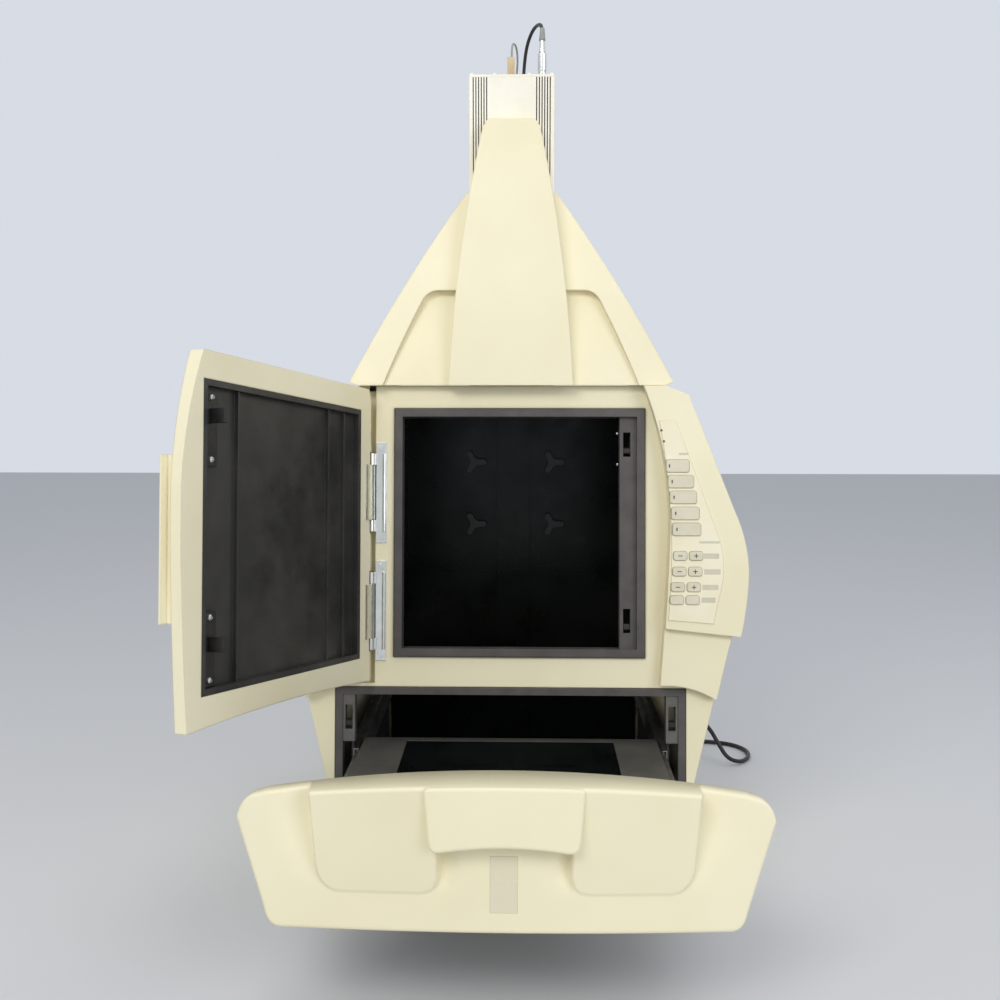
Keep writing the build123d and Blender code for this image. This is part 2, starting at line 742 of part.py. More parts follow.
# The drawer's planes, at its pulled-out place
DRAWER_FACE = Plane(origin=(centre_x, face_foot_y - drawer_out, datum), x_dir=(1, 0, 0),
                    z_dir=out_dir)
DRAWER_PLAN = Plane(origin=(centre_x, face_foot_y - drawer_out, datum), x_dir=(1, 0, 0),
                    z_dir=up_dir * -1)


def drawer_block(x0, x1, y0, y1, z0, z1, mode=Mode.ADD):
    """Adds an upright block to the drawer, placed as in the closed drawer."""
    block(x0, x1, y0 - drawer_out, y1 - drawer_out, z0, z1, mode)


def drawer_prism(points, back, front, mode=Mode.ADD, round_by=0):
    """Adds a front-view polygon, points as half width and height, to the drawer front."""
    with BuildSketch(DRAWER_FACE.offset(back)) as ground:
        with BuildLine():
            Polyline([(x, up(z)) for x, z in points], close=True)
        make_face()
        if round_by:
            fillet(ground.vertices(), round_by)
    extrude(ground.sketch, amount=front - back, mode=mode)


with BuildPart() as drawer_front:
    with BuildSketch(DRAWER_FACE.offset(drawer_gap)) as front_view:
        with BuildLine():
            edge_high = up(drawer_top - 17)
            ThreePointArc((-drawer_half_high + 24, edge_high), (0, up(drawer_top)),
                          (drawer_half_high - 24, edge_high))
            TangentArc((drawer_half_high - 24, edge_high),
                       (drawer_half_high, up(drawer_high)), tangent=(1, -0.15))
            Line((drawer_half_high, up(drawer_high)),
                 (drawer_half_low + 3, up(drawer_bottom + 14)))
            TangentArc((drawer_half_low + 3, up(drawer_bottom + 14)),
                       (drawer_half_low - 12, up(drawer_bottom)), tangent=(-0.3, -1))
            Line((drawer_half_low - 12, up(drawer_bottom)),
                 (-drawer_half_low + 12, up(drawer_bottom)))
            TangentArc((-drawer_half_low - 3, up(drawer_bottom + 14)),
                       (-drawer_half_low + 12, up(drawer_bottom)), tangent=(0.3, -1))
            Line((-drawer_half_low - 3, up(drawer_bottom + 14)),
                 (-drawer_half_high, up(drawer_high)))
            TangentArc((-drawer_half_high + 24, edge_high),
                       (-drawer_half_high, up(drawer_high)), tangent=(-1, -0.15))
        make_face()
    extrude(amount=60)
    with BuildSketch(DRAWER_PLAN) as bow:
        with BuildLine():
            far = drawer_half_high + 4
            ThreePointArc((-far, drawer_wing - 3), (0, drawer_wing_mid), (far, drawer_wing - 3))
            Polyline((far, drawer_wing - 3), (far, 0), (-far, 0), (-far, drawer_wing - 3))
        make_face()
    extrude(bow.sketch, amount=-reach, mode=Mode.INTERSECT)


def drawer_pads():
    """The two raised pads, full at the top and flush at the foot."""
    with BuildPart() as pads:
        with BuildSketch(DRAWER_FACE.offset(drawer_wing / 2)) as pad_view:
            with BuildLine():
                Polyline((pad_inner, up(drawer_top)), (pad_outer, up(drawer_top)),
                         (pad_outer - 14, up(pad_bottom)), (pad_inner, up(pad_bottom)),
                         close=True)
            make_face()
            fillet(pad_view.vertices().group_by(Axis.Y)[0], 16)
            mirror(about=Plane.YZ)
        extrude(amount=60)
        with BuildSketch(DRAWER_PLAN) as pad_bow:
            with BuildLine():
                ThreePointArc((-pad_outer, drawer_pad_out),
                              (0, drawer_pad_mid + 2), (pad_outer, drawer_pad_out))
                Polyline((pad_outer, drawer_pad_out), (pad_outer, 0), (-pad_outer, 0),
                         (-pad_outer, drawer_pad_out))
            make_face()
        extrude(pad_bow.sketch, amount=-reach, mode=Mode.INTERSECT)
        with BuildSketch(SIDE) as pad_side:
            foot = Vector(face_y(pad_bottom) - drawer_out, pad_bottom)
            head = Vector(face_y(drawer_top) - drawer_out, drawer_top)
            with BuildLine():
                Polyline((foot.X, foot.Y - 4), (foot.X - drawer_wing_mid, foot.Y - 4),
                         (foot.X - drawer_wing_mid, foot.Y),
                         (head.X - drawer_pad_mid - 4, head.Y - 20),
                         (head.X - drawer_pad_mid - 4, head.Y + 9), (head.X, head.Y + 9),
                         close=True)
            make_face()
        extrude(pad_side.sketch, amount=reach, both=True, mode=Mode.INTERSECT)
    return pads.part


def drawer_trim():
    """Everything above the drawer front's arched top, to cut away."""
    with BuildPart() as trim:
        with BuildSketch(DRAWER_FACE) as above:
            edge_high = up(drawer_top - 17)
            with BuildLine():
                ThreePointArc((-drawer_half_high + 24, edge_high), (0, up(drawer_top)),
                              (drawer_half_high - 24, edge_high))
                Polyline((drawer_half_high - 24, edge_high),
                         (drawer_half_high - 24, up(drawer_top) + 60),
                         (-drawer_half_high + 24, up(drawer_top) + 60),
                         (-drawer_half_high + 24, edge_high))
            make_face()
        extrude(above.sketch, amount=120, both=True)
    return trim.part


drawer_base = drawer_front.part
pads = drawer_pads()
trim = drawer_trim()
with BuildPart() as drawer_front:
    add(drawer_base)
    add(pads)
    # Grip tab between the pads, its lower edge arched
    with BuildSketch(DRAWER_FACE.offset(drawer_wing / 2)) as tab_view:
        with BuildLine():
            ThreePointArc((-tab_half, up(tab_bottom)), (0, up(tab_bottom + tab_arch)),
                          (tab_half, up(tab_bottom)))
            Polyline((tab_half, up(tab_bottom)), (tab_half + 4, up(drawer_top) + 2),
                     (-tab_half - 4, up(drawer_top) + 2), (-tab_half, up(tab_bottom)))
        make_face()
        fillet(tab_view.vertices().group_by(Axis.Y)[0], 12)
    extrude(amount=drawer_tab - drawer_wing / 2)
    add(trim, mode=Mode.SUBTRACT)
    # Finger pocket behind the tab, open underneath
    drawer_prism([(-52, tab_bottom - 8), (52, tab_bottom - 8), (60, tab_bottom + 26),
                  (-60, tab_bottom + 26)],
                 pocket_back, drawer_tab - pocket_wall, mode=Mode.SUBTRACT, round_by=10)
    # Two hooks on the back, for the catches beside the opening
    for x in (-drawer_catch_half + catch_width / 2, drawer_catch_half - catch_width / 2):
        low, high = drawer_catch_height - hook_low, drawer_catch_height - hook_low + hook_tall
        drawer_prism([(x - hook_width / 2, low), (x + hook_width / 2, low),
                      (x + hook_width / 2, high), (x - hook_width / 2, high)],
                     -7, drawer_gap + 1)
drawer_front.part.label = "drawer_front"
export_step(drawer_front.part, "parts/drawer_front.step")

# Tray: the transilluminator's housing with tube holders and inner slide members
tube_y = [90 + 38 * k for k in range(6)]
tube_half = 150.0
tube_z = 87.0
with BuildPart() as tray_box:
    drawer_block(-tray_half, tray_half, -60, tray_back, tray_bottom, tray_top - tray_lid)
    drawer_block(-tray_half + tray_wall, tray_half - tray_wall, 22, tray_back - tray_wall,
                 tray_bottom + tray_wall, tray_top, mode=Mode.SUBTRACT)
    for side in (-1, 1):
        near, far = side * tube_half, side * (tube_half + 8)
        drawer_block(min(near, far), max(near, far), tube_y[0] - 16, tube_y[-1] + 16,
                     tray_bottom + tray_wall, tray_top - tray_lid - 6)
        near, far = side * tray_half, side * (tray_half + slide_inner)
        drawer_block(min(near, far), max(near, far), 14, tray_back - 4,
                     slide_low + 5, slide_low + slide_height - 5)
    split(bisect_by=DRAWER_FACE.offset(drawer_gap), keep=Keep.BOTTOM)
tray_box.part.label = "tray_box"
export_step(tray_box.part, "parts/tray_box.step")

with BuildPart() as tray_lid_plate:
    drawer_block(-tray_half, tray_half, -60, tray_back, tray_top - tray_lid, tray_top)
    split(bisect_by=DRAWER_FACE.offset(drawer_gap), keep=Keep.BOTTOM)
    drawer_block(-glass_half - fit_gap, glass_half + fit_gap, glass_front - fit_gap,
                 glass_back + fit_gap, tray_top - 2.6, tray_top + 1, mode=Mode.SUBTRACT)
    drawer_block(-glass_half + 4, glass_half - 4, glass_front + 4, glass_back - 4,
                 tray_top - tray_lid - 1, tray_top, mode=Mode.SUBTRACT)
tray_lid_plate.part.label = "tray_lid"
export_step(tray_lid_plate.part, "parts/tray_lid.step")

with BuildPart() as filter_glass:
    drawer_block(-glass_half, glass_half, glass_front, glass_back, tray_top - 2.6,
                 tray_top - 0.4)
filter_glass.part.label = "filter_glass"
export_step(filter_glass.part, "parts/filter_glass.step")

with BuildPart() as uv_tubes:
    with BuildSketch(SIDE.offset(-tube_half)) as tube_ends:
        with Locations(*[(y - drawer_out, tube_z) for y in tube_y]):
            Circle(tube_radius)
    extrude(amount=2 * tube_half)
uv_tubes.part.label = "uv_tubes"
export_step(uv_tubes.part, "parts/uv_tubes.step")

# Telescopic slides: outer channels on the rail walls, middle members between
middle_x = tray_half + slide_inner + slide_gap
outer_x = middle_x + slide_middle + slide_gap
with BuildPart() as slide_outers:
    for side in (-1, 1):
        web = [side * rail_x, side * (rail_x - 1.2)]
        lips = [side * rail_x, side * (middle_x + 1.6)]
        block(min(web), max(web), 0, tray_back + 6, slide_low, slide_low + slide_height)
        for z in (slide_low, slide_low + slide_height - 1.2):
            block(min(lips), max(lips), 0, tray_back + 6, z, z + 1.2)
slide_outers.part.label = "slide_outers"
export_step(slide_outers.part, "parts/slide_outers.step")

with BuildPart() as slide_middles:
    shift = -drawer_out / 2
    for side in (-1, 1):
        web = [side * middle_x, side * (middle_x + 1.2)]
        lips = [side * middle_x, side * (outer_x - 0.2)]
        block(min(web), max(web), 10 + shift, tray_back + shift,
              slide_low + 1.7, slide_low + slide_height - 1.7)
        for z in (slide_low + 1.7, slide_low + slide_height - 2.9):
            block(min(lips), max(lips), 10 + shift, tray_back + shift, z, z + 1.2)
slide_middles.part.label = "slide_middles"
export_step(slide_middles.part, "parts/slide_middles.step")


# Hood: wings and the central ramp as one hollow moulding
hood_base_y = 36.0


def hood_front_view(inset):
    with BuildSketch(FRONT) as view:
        base = seam_height + fit_gap
        with BuildLine():
            Line((0, base), (seam_half, base))
            Line((seam_half, base), (seam_half + 9, base + 4))
            ThreePointArc((seam_half + 9, base + 4), (wing_mid_half, wing_mid_height),
                          (hood_top_half, hood_top))
            Line((hood_top_half, hood_top), (0, hood_top))
            mirror(about=Plane.YZ)
        make_face()
        if inset:
            offset(amount=-inset, kind=Kind.INTERSECTION)
            with Locations((0, base + inset / 2)):
                Rectangle(2 * (seam_half - inset), inset + 2)
    return view.sketch


def hood_side_view(inset):
    with BuildSketch(SIDE) as view:
        base = seam_height + fit_gap - (10 if inset else 0)
        with BuildLine():
            Polyline((hood_base_y, base), (hood_base_y, base + 1),
                     (hood_front_top_y, hood_top), (hood_rear_top_y, hood_top),
                     (hood_rear_y, hood_rear_height), (hood_rear_y, base), close=True)
        make_face()
        if inset:
            offset(amount=-inset, kind=Kind.INTERSECTION)
    return view.sketch


def ramp_front_view(inset):
    with BuildSketch(FRONT) as view:
        base = seam_height + fit_gap - (10 if inset else 0)
        with BuildLine():
            Line((0, base), (ramp_bottom_half, base))
            ThreePointArc((ramp_bottom_half, base), (ramp_waist_half, ramp_waist_height),
                          (ramp_shoulder_half, ramp_shoulder_height))
            Line((ramp_shoulder_half, ramp_shoulder_height), (ramp_top_half, ramp_top))
            Line((ramp_top_half, ramp_top), (0, ramp_top))
            mirror(about=Plane.YZ)
        make_face()
        if inset:
            offset(amount=-inset, kind=Kind.INTERSECTION)
    return view.sketch


def ramp_side_view(inset):
    with BuildSketch(SIDE) as view:
        base = seam_height + fit_gap - (10 if inset else 0)
        back = tower_front - fit_gap + (20 if inset else 0)
        with BuildLine():
            Polyline((ramp_front_y + inset, base), (ramp_top_y + inset, ramp_top),
                     (back, ramp_top), (back, hood_top - 30), (back + 40, base), close=True)
        make_face()
    return view.sketch


def scoops(inset):
    """The hollows in the wings beside the ramp, as solids to cut."""
    with BuildPart() as hollow:
        with BuildSketch(FRONT) as view:
            with BuildLine():
                Line((30, seam_height - 5), (scoop_half, seam_height - 5))
                ThreePointArc((scoop_half, seam_height - 5),
                              (scoop_half - 18, seam_height + 39),
                              (scoop_half - 49, scoop_ledge - 14))
                ThreePointArc((scoop_half - 49, scoop_ledge - 14),
                              (scoop_half - 57, scoop_ledge - 4),
                              (scoop_half - 69, scoop_ledge))
                Line((scoop_half - 69, scoop_ledge), (30, scoop_ledge))
                Line((30, scoop_ledge), (30, seam_height - 5))
            make_face()
            mirror(about=Plane.YZ)
            if inset:
                offset(amount=inset)
        extrude(view.sketch, amount=reach, both=True)
        slope = (hood_front_top_y - hood_base_y) / (hood_top - seam_height)
        with BuildSketch(SIDE) as depth:
            with BuildLine():
                Polyline((-50, seam_height - 20),
                         (hood_base_y + 4 + inset, seam_height - 20),
                         (hood_base_y + 4 + inset, seam_height),
                         (hood_base_y + slope * (scoop_ledge - seam_height)
                          + scoop_depth + inset, scoop_ledge + inset),
                         (-50, scoop_ledge + inset), close=True)
            make_face()
        extrude(depth.sketch, amount=reach, both=True, mode=Mode.INTERSECT)
    return hollow.part


def hood_form(inset):
    with BuildPart() as form:
        extrude(hood_front_view(inset), amount=reach, both=True)
        extrude(hood_side_view(inset), amount=reach, both=True, mode=Mode.INTERSECT)
        add(scoops(inset), mode=Mode.SUBTRACT)
    with BuildPart() as ramp:
        extrude(ramp_front_view(inset), amount=reach, both=True)
        extrude(ramp_side_view(inset), amount=reach, both=True, mode=Mode.INTERSECT)
    return form.part + ramp.part


tower_y = tower_front + tower_half
with BuildPart() as hood_cover:
    add(hood_form(0))
    add(hood_form(hood_wall), mode=Mode.SUBTRACT)
    block(-tower_half - fit_gap, tower_half + fit_gap, tower_front - fit_gap,
          tower_front + 2 * tower_half + fit_gap, hood_top - 60, ramp_top + 20,
          mode=Mode.SUBTRACT)
hood_cover.part.label = "hood_cover"
export_step(hood_cover.part, "parts/hood_cover.step")

# Camera tower: a ribbed extrusion that stands on the chamber's roof
with BuildPart() as tower_shell:
    with BuildSketch(TOP.offset(tower_bottom)) as section:
        with Locations((0, tower_y)):
            RectangleRounded(2 * tower_half, 2 * tower_half, 2.5)
            Rectangle(2 * (tower_half - tower_wall), 2 * (tower_half - tower_wall),
                      mode=Mode.SUBTRACT)
            for k in range(groove_count):
                at = groove_first + k * groove_pitch
                edge = tower_half - groove_depth / 2 + 0.5
                with Locations((at, edge), (-at, edge), (at, -edge), (-at, -edge)):
                    Rectangle(groove_width, groove_depth + 1, mode=Mode.SUBTRACT)
                with Locations((edge, at), (edge, -at), (-edge, at), (-edge, -at)):
                    Rectangle(groove_depth + 1, groove_width, mode=Mode.SUBTRACT)
    extrude(amount=tower_top - cap_thickness - tower_bottom)
tower_shell.part.label = "tower_shell"
export_step(tower_shell.part, "parts/tower_shell.step")

connector_x, plug_x = 39.0, -1.7
cap_screw_x = [-50.5, -22.0, 22.0, 50.5]
with BuildPart() as tower_cap:
    with BuildSketch(TOP.offset(tower_top - cap_thickness)):
        with Locations((0, tower_y)):
            RectangleRounded(2 * tower_half, 2 * tower_half, 2.5)
    extrude(amount=cap_thickness)
    stud(TOP.offset(tower_top), [(x, tower_y + y) for x in cap_screw_x
                                 for y in (-tower_half + 5, tower_half - 5)], 2.6, 2.4)
tower_cap.part.label = "tower_cap"
export_step(tower_cap.part, "parts/tower_cap.step")

# Camera and its lens, hung from it over the hole in the chamber's roof
camera_low, camera_high, camera_half = 760.0, 900.0, 36.0
lens_radius, lens_low = 24.0, 610.0
ring_radius = 30.0
with BuildPart() as camera_body:
    block(-camera_half, camera_half, tower_y - camera_half,
          tower_front + 2 * tower_half - tower_wall, camera_low, camera_high)
    chamfer(camera_body.edges().filter_by(Axis.Z).sort_by(Axis.Y)[:2], length=4)
camera_body.part.label = "camera_body"
export_step(camera_body.part, "parts/camera_body.step")

with BuildPart() as lens_barrel:
    with BuildSketch(SIDE) as lens_section:
        with BuildLine():
            Polyline((tower_y, lens_low), (tower_y + 27, lens_low),
                     (tower_y + 27, lens_low + 22), (tower_y + lens_radius, lens_low + 22),
                     (tower_y + lens_radius, camera_low - 14),
                     (tower_y + 29, camera_low - 14), (tower_y + 29, camera_low),
                     (tower_y, camera_low), close=True)
        make_face()
    revolve(axis=Axis((centre_x, tower_y, 0), (0, 0, 1)))
    with BuildSketch(TOP.offset(lens_low)):
        with Locations((0, tower_y)):
            Circle(21)
    extrude(amount=12, mode=Mode.SUBTRACT)
lens_barrel.part.label = "lens_barrel"
export_step(lens_barrel.part, "parts/lens_barrel.step")

for ring_name, ring_low in (("focus_ring", 640.0), ("zoom_ring", 690.0)):
    with BuildPart() as lens_ring:
        with BuildSketch(TOP.offset(ring_low)):
            with Locations((0, tower_y)):
                Circle(ring_radius)
                Circle(lens_radius + fit_gap, mode=Mode.SUBTRACT)
                with PolarLocations(ring_radius, 24):
                    Circle(1.4, mode=Mode.SUBTRACT)
        extrude(amount=24)
    lens_ring.part.label = ring_name
    export_step(lens_ring.part, "parts/" + ring_name + ".step")

# Control panel on the right ear: overlay and keys
key_travel = 0.5
overlay = 1.0
overlay_inset = 2.1
overlay_top = 513.0
key_rise = 1.6
light_keys = [(204.8, 456.4, 28.0), (208.7, 437.4, 31.3), (211.5, 418.3, 32.7),
              (214.0, 398.8, 34.3), (215.6, 379.5, 34.8)]
light_key_tall = 15.4
pair_rows = [("iris", 207.8, 347.4), ("zoom", 206.7, 328.4), ("focus", 205.0, 309.5),
             ("speed", 203.6, 293.9)]
pair_pitch, pair_wide, pair_tall = 19.4, 16.6, 10.9
keys = [("light_key_" + str(k + 1), x, z, wide, light_key_tall)
        for k, (x, z, wide) in enumerate(light_keys)]
for row, x, z in pair_rows:
    keys.append((row + "_key_minus", x, z, pair_wide, pair_tall))
    keys.append((row + "_key_plus", x + pair_pitch, z, pair_wide, pair_tall))


def key_holes(plane, grow, deep):
    with BuildSketch(plane) as holes:
        for key_name, x, z, wide, tall in keys:
            with Locations((x, up(z))):
                RectangleRounded(wide + grow, tall + grow, 3.2 + grow / 2)
    extrude(holes.sketch, amount=deep, mode=Mode.SUBTRACT)


with BuildPart() as control_overlay:
    with BuildSketch(FACE.offset(pod_proud)) as overlay_view:
        with BuildLine():
            waist = (recess_mid_half + overlay_inset, up(recess_mid_height))
            foot_in = (recess_low_half + 8.9, up(pod_low_in + 7.5))
            foot_out = (pod_low_half - 33.5, up(pod_low_in + 3.2))
            hip = (pod_hip_half - 32.5, up(pod_hip_height + 12))
            side_high = (pod_waist_half - 31.5, up(pod_waist_height))
            head_in = (recess_high_half - 5.5, up(overlay_top - 1))
            head_out = (pod_top_half - 16.4, up(overlay_top))
            ThreePointArc(head_in, (recess_high_half + 5, up(overlay_top - 73)), waist)
            ThreePointArc(waist, (recess_mid_half + 1.3, up(recess_mid_height - 50)), foot_in)
            Polyline(foot_in, foot_out, hip)
            ThreePointArc(hip, (pod_belly_half - 31.2, up(pod_belly_height + 5)), side_high)
            Polyline(side_high, head_out, head_in)
        make_face()
        fillet(overlay_view.vertices().group_by(Axis.Y)[-1], 4)
    extrude(amount=overlay)
    key_holes(FACE.offset(pod_proud - 1), 2 * fit_gap, overlay + 2)
control_overlay.part.label = "control_overlay"
export_step(control_overlay.part, "parts/control_overlay.step")

for key_name, x, z, wide, tall in keys:
    with BuildPart() as key:
        face_block(x - wide / 2, x + wide / 2, z - tall / 2, z + tall / 2,
                   pod_proud - 0.6, pod_proud + overlay + key_rise, round_by=3.2)
        fillet(key.faces().sort_by(Axis.Y)[0].edges(), 0.8)
    key.part.label = key_name
    export_step(key.part, "parts/" + key_name + ".step")

with BuildPart() as front_bezel_pocketed:
    add(front_bezel.part)
    key_holes(FACE.offset(pod_proud - 0.7 - key_travel), 2 * fit_gap, 2)
front_bezel_pocketed.part.label = "front_bezel"
export_step(front_bezel_pocketed.part, "parts/front_bezel.step")

# Power supply and cooling fan on the back panel
supply_in, supply_out, supply_deep = 196.0, 252.0, 118.0
supply_low, supply_tall = 240.0, 140.0
with BuildPart() as power_supply:
    block(-supply_out, -supply_in, panel_front - supply_deep, panel_front, supply_low,
          supply_low + supply_tall)
power_supply.part.label = "power_supply"
export_step(power_supply.part, "parts/power_supply.step")

fan_deep = 20.0
with BuildPart() as fan_frame:
    with BuildSketch(FRONT.offset(-panel_front)):
        with Locations((fan_x, fan_z)):
            RectangleRounded(fan_size, fan_size, 5)
            Circle(fan_bore + 1, mode=Mode.SUBTRACT)
    extrude(amount=fan_deep)
    with BuildSketch(FRONT.offset(-panel_front)):
        with Locations((fan_x, fan_z)):
            Circle(15)
            with PolarLocations(0, 4, start_angle=45):
                with Locations((fan_bore / 2 + 6, 0)):
                    Rectangle(fan_bore - 8, 4)
    extrude(amount=2.5)
fan_frame.part.label = "fan_frame"
export_step(fan_frame.part, "parts/fan_frame.step")

blade_count = 7
with BuildPart() as fan_rotor:
    with BuildSketch(FRONT.offset(-panel_front + 2.8)):
        with Locations((fan_x, fan_z)):
            Circle(14)
    extrude(amount=14)
    with BuildSketch(FRONT.offset(-panel_front + 5)):
        with Locations((fan_x, fan_z)):
            with PolarLocations(24.5, blade_count):
                Rectangle(23, 8)
    extrude(amount=2.5)
fan_rotor.part.label = "fan_rotor"
export_step(fan_rotor.part, "parts/fan_rotor.step")

# Mains inlet with its rocker switch
socket_z, rocker_z = inlet_z - 10, inlet_z + 14
socket_w, socket_h, socket_deep = 20.0, 14.0, 13.0
rocker_w, rocker_h = 18.0, 13.0
flange = 2.5
with BuildPart() as mains_inlet:
    block(inlet_x - inlet_w / 2 + fit_gap, inlet_x + inlet_w / 2 - fit_gap,
          chamber_back + sheet + 1, panel_back, inlet_z - inlet_h / 2 + fit_gap,
          inlet_z + inlet_h / 2 - fit_gap)
    block(inlet_x - inlet_w / 2 - 3, inlet_x + inlet_w / 2 + 3, panel_back,
          panel_back + flange, inlet_z - inlet_h / 2 - 3, inlet_z + inlet_h / 2 + 3)
    block(inlet_x - socket_w / 2 - fit_gap, inlet_x + socket_w / 2 + fit_gap,
          panel_back + flange - socket_deep, panel_back + flange + 1,
          socket_z - socket_h / 2 - fit_gap, socket_z + socket_h / 2 + fit_gap,
          mode=Mode.SUBTRACT)
    block(inlet_x - rocker_w / 2, inlet_x + rocker_w / 2, panel_back + flange - 9,
          panel_back + flange + 1, rocker_z - rocker_h / 2, rocker_z + rocker_h / 2,
          mode=Mode.SUBTRACT)
mains_inlet.part.label = "mains_inlet"
export_step(mains_inlet.part, "parts/mains_inlet.step")

rocker_axis_y = panel_back + flange - 3
with BuildPart() as power_rocker:
    with BuildSketch(SIDE.offset(inlet_x - rocker_w / 2 + fit_gap)):
        with BuildLine():
            half = rocker_h / 2 - 1.2
            Polyline((rocker_axis_y - 3, rocker_z - half), (rocker_axis_y + 2.5, rocker_z - half),
                     (rocker_axis_y + 4, rocker_z), (rocker_axis_y + 2.5, rocker_z + half),
                     (rocker_axis_y - 3, rocker_z + half), close=True)
        make_face()
    extrude(amount=rocker_w - 2 * fit_gap)
power_rocker.part.label = "power_rocker"
export_step(power_rocker.part, "parts/power_rocker.step")

# Connectors on the tower's cap: the camera's round one and the lens's flat plug
connector_radius, connector_top, relief_top = 5.8, 988.0, 1006.0
plug_wide, plug_deep, plug_top = 9.0, 7.0, 982.0
camera_cable_diameter, lens_lead_diameter = 4.6, 2.6
with BuildPart() as cap_connectors:
    with BuildSketch(SIDE.offset(connector_x)):
        with BuildLine():
            Polyline([(tower_y + r, z) for r, z in (
                (0, tower_top), (7.4, tower_top), (7.4, tower_top + 3),
                (connector_radius, tower_top + 3), (connector_radius, tower_top + 16),
                (connector_radius - 0.7, tower_top + 16.7),
                (connector_radius - 0.7, tower_top + 18.3),
                (connector_radius, tower_top + 19), (connector_radius, connector_top - 2),
                (connector_radius - 2, connector_top), (4.4, connector_top),
                (camera_cable_diameter / 2 + 0.7, relief_top), (0, relief_top))], close=True)
        make_face()
    revolve(axis=Axis((centre_x + connector_x, tower_y, 0), (0, 0, 1)))
    with BuildSketch(TOP.offset(tower_top)):
        with Locations((plug_x, tower_y)):
            RectangleRounded(plug_wide, plug_deep, 1.2)
    extrude(amount=plug_top - tower_top)
cap_connectors.part.label = "cap_connectors"
export_step(cap_connectors.part, "parts/cap_connectors.step")


def cord_tube(cord_name, points, diameter):
    """A cord's tube: straight runs joined by arcs as large as the runs allow."""
    points = [Vector(*p) for p in points]
    runs = [b - a for a, b in zip(points, points[1:])]
    radii = [0.45 * min(a.length, b.length) / tan(radians(a.get_angle(b)) / 2)
             for a, b in zip(runs, runs[1:])]
    with BuildPart() as tube:
        with BuildLine() as route:
            FilletPolyline(*points, radius=radii)
        with BuildSketch(Plane(origin=points[0], z_dir=runs[0])) as section:
            Circle(diameter / 2)
        sweep(section.sketch, path=route.wires()[0])
    length = route.wires()[0].length
    print(cord_name, "length", round(length, 1), "radii", [round(r, 1) for r in radii],
          "volume over section times length",
          round(tube.part.volume / (section.sketch.area * length), 4))
    return tube.part


# The camera's cable and the lens's lead, over the cap and down to glands on the hood
gland_x, gland_y, gland_top = 14.0, 221.0, 812.0
lens_gland_x = 1.0
camera_route = [(connector_x, tower_y, relief_top), (connector_x, tower_y, 1021),
                (36, 163, 1033), (28, 187, 1035), (20, 207, 1022), (16, 218, 1000),
                (gland_x, gland_y + 1, 965), (gland_x, gland_y + 3, 915),
                (gland_x, gland_y, 862), (gland_x, gland_y, gland_top)]
lens_route = [(plug_x + 1, tower_y, plug_top), (plug_x + 1, tower_y, 994),
              (1, 160, 1003), (5, 180, 1005), (7, 200, 994), (5, 212, 975),
              (3, 217, 948), (lens_gland_x, gland_y + 2, 905), (lens_gland_x, gland_y, 858),
              (lens_gland_x, gland_y, gland_top)]
for cord_name, route_points, diameter in (
        ("camera_cable", camera_route, camera_cable_diameter),
        ("lens_lead", lens_route, lens_lead_diameter)):
    lead = cord_tube(cord_name, [(centre_x + x, y, datum + z) for x, y, z in route_points],
                     diameter)
    lead.label = cord_name
    export_step(lead, "parts/" + cord_name + ".step")

with BuildPart() as hood_with_glands:
    add(hood_cover.part)
    with BuildSketch(TOP.offset(gland_top)):
        with Locations((gland_x, gland_y)):
            Circle(5.5)
        with Locations((lens_gland_x, gland_y)):
            Circle(4)
    extrude(amount=hood_rear_height - gland_top + 150)
hood_with_glands.part.label = "hood_cover"
export_step(hood_with_glands.part, "parts/hood_cover.step")

# Mains lead: connector in the inlet, cord, coil on the table and plug
cord_diameter = 6.6
cord_low = cord_diameter / 2 + 0.05
connector_w, connector_h, connector_long, relief_long = 25.0, 18.0, 30.0, 26.0
connector_y = panel_back + flange
with BuildPart() as mains_connector:
    block(inlet_x - socket_w / 2, inlet_x + socket_w / 2,
          connector_y - socket_deep + 0.5, connector_y + 1,
          socket_z - socket_h / 2, socket_z + socket_h / 2)
    block(inlet_x - connector_w / 2, inlet_x + connector_w / 2, connector_y,
          connector_y + connector_long, socket_z - connector_h / 2,
          socket_z + connector_h / 2)
    chamfer(mains_connector.faces().sort_by(Axis.Y)[-1].edges(), length=3)
    with BuildSketch(FRONT.offset(-connector_y - connector_long)) as wide_end:
        with Locations((inlet_x, socket_z)):
            Circle(6)
    with BuildSketch(FRONT.offset(-connector_y - connector_long - relief_long)) as thin_end:
        with Locations((inlet_x, socket_z)):
            Circle(cord_diameter / 2 + 0.6)
    loft([wide_end.sketch, thin_end.sketch])
mains_connector.part.label = "mains_connector"
export_step(mains_connector.part, "parts/mains_connector.step")

coil_x, coil_y, coil_radius = 236.0, 448.0, 37.0
coil_half_wide, coil_tall = 9.9, 13.3
lap_y = coil_y + coil_radius + coil_half_wide - cord_diameter / 2
entry_x, exit_x = coil_x + 50, coil_x - 52
socket_level = datum + socket_z
relief_y = connector_y + connector_long + relief_long
mains_route = [(centre_x + inlet_x, relief_y, socket_level),
               (centre_x + inlet_x, relief_y + 24, socket_level),
               (184, 480, 84), (226, 490, 82), (272, 474, 79), (308, 438, 72),
               (331, 402, 60), (345, 386, 36), (359, 381, 13), (382, 389, cord_low),
               (402, 414, cord_low), (405, 450, cord_low), (381, 480, cord_low),
               (336, lap_y, cord_low), (entry_x, lap_y, cord_low)]
plug_point, plug_heading = Vector(96, 482, 11), Vector(-24, -7, 0).normalized()
tail_route = [(exit_x, lap_y, cord_low), (152, lap_y, cord_low),
              tuple(plug_point - plug_heading * 27), tuple(plug_point)]
mains_lead = cord_tube("mains_cable", mains_route, cord_diameter)
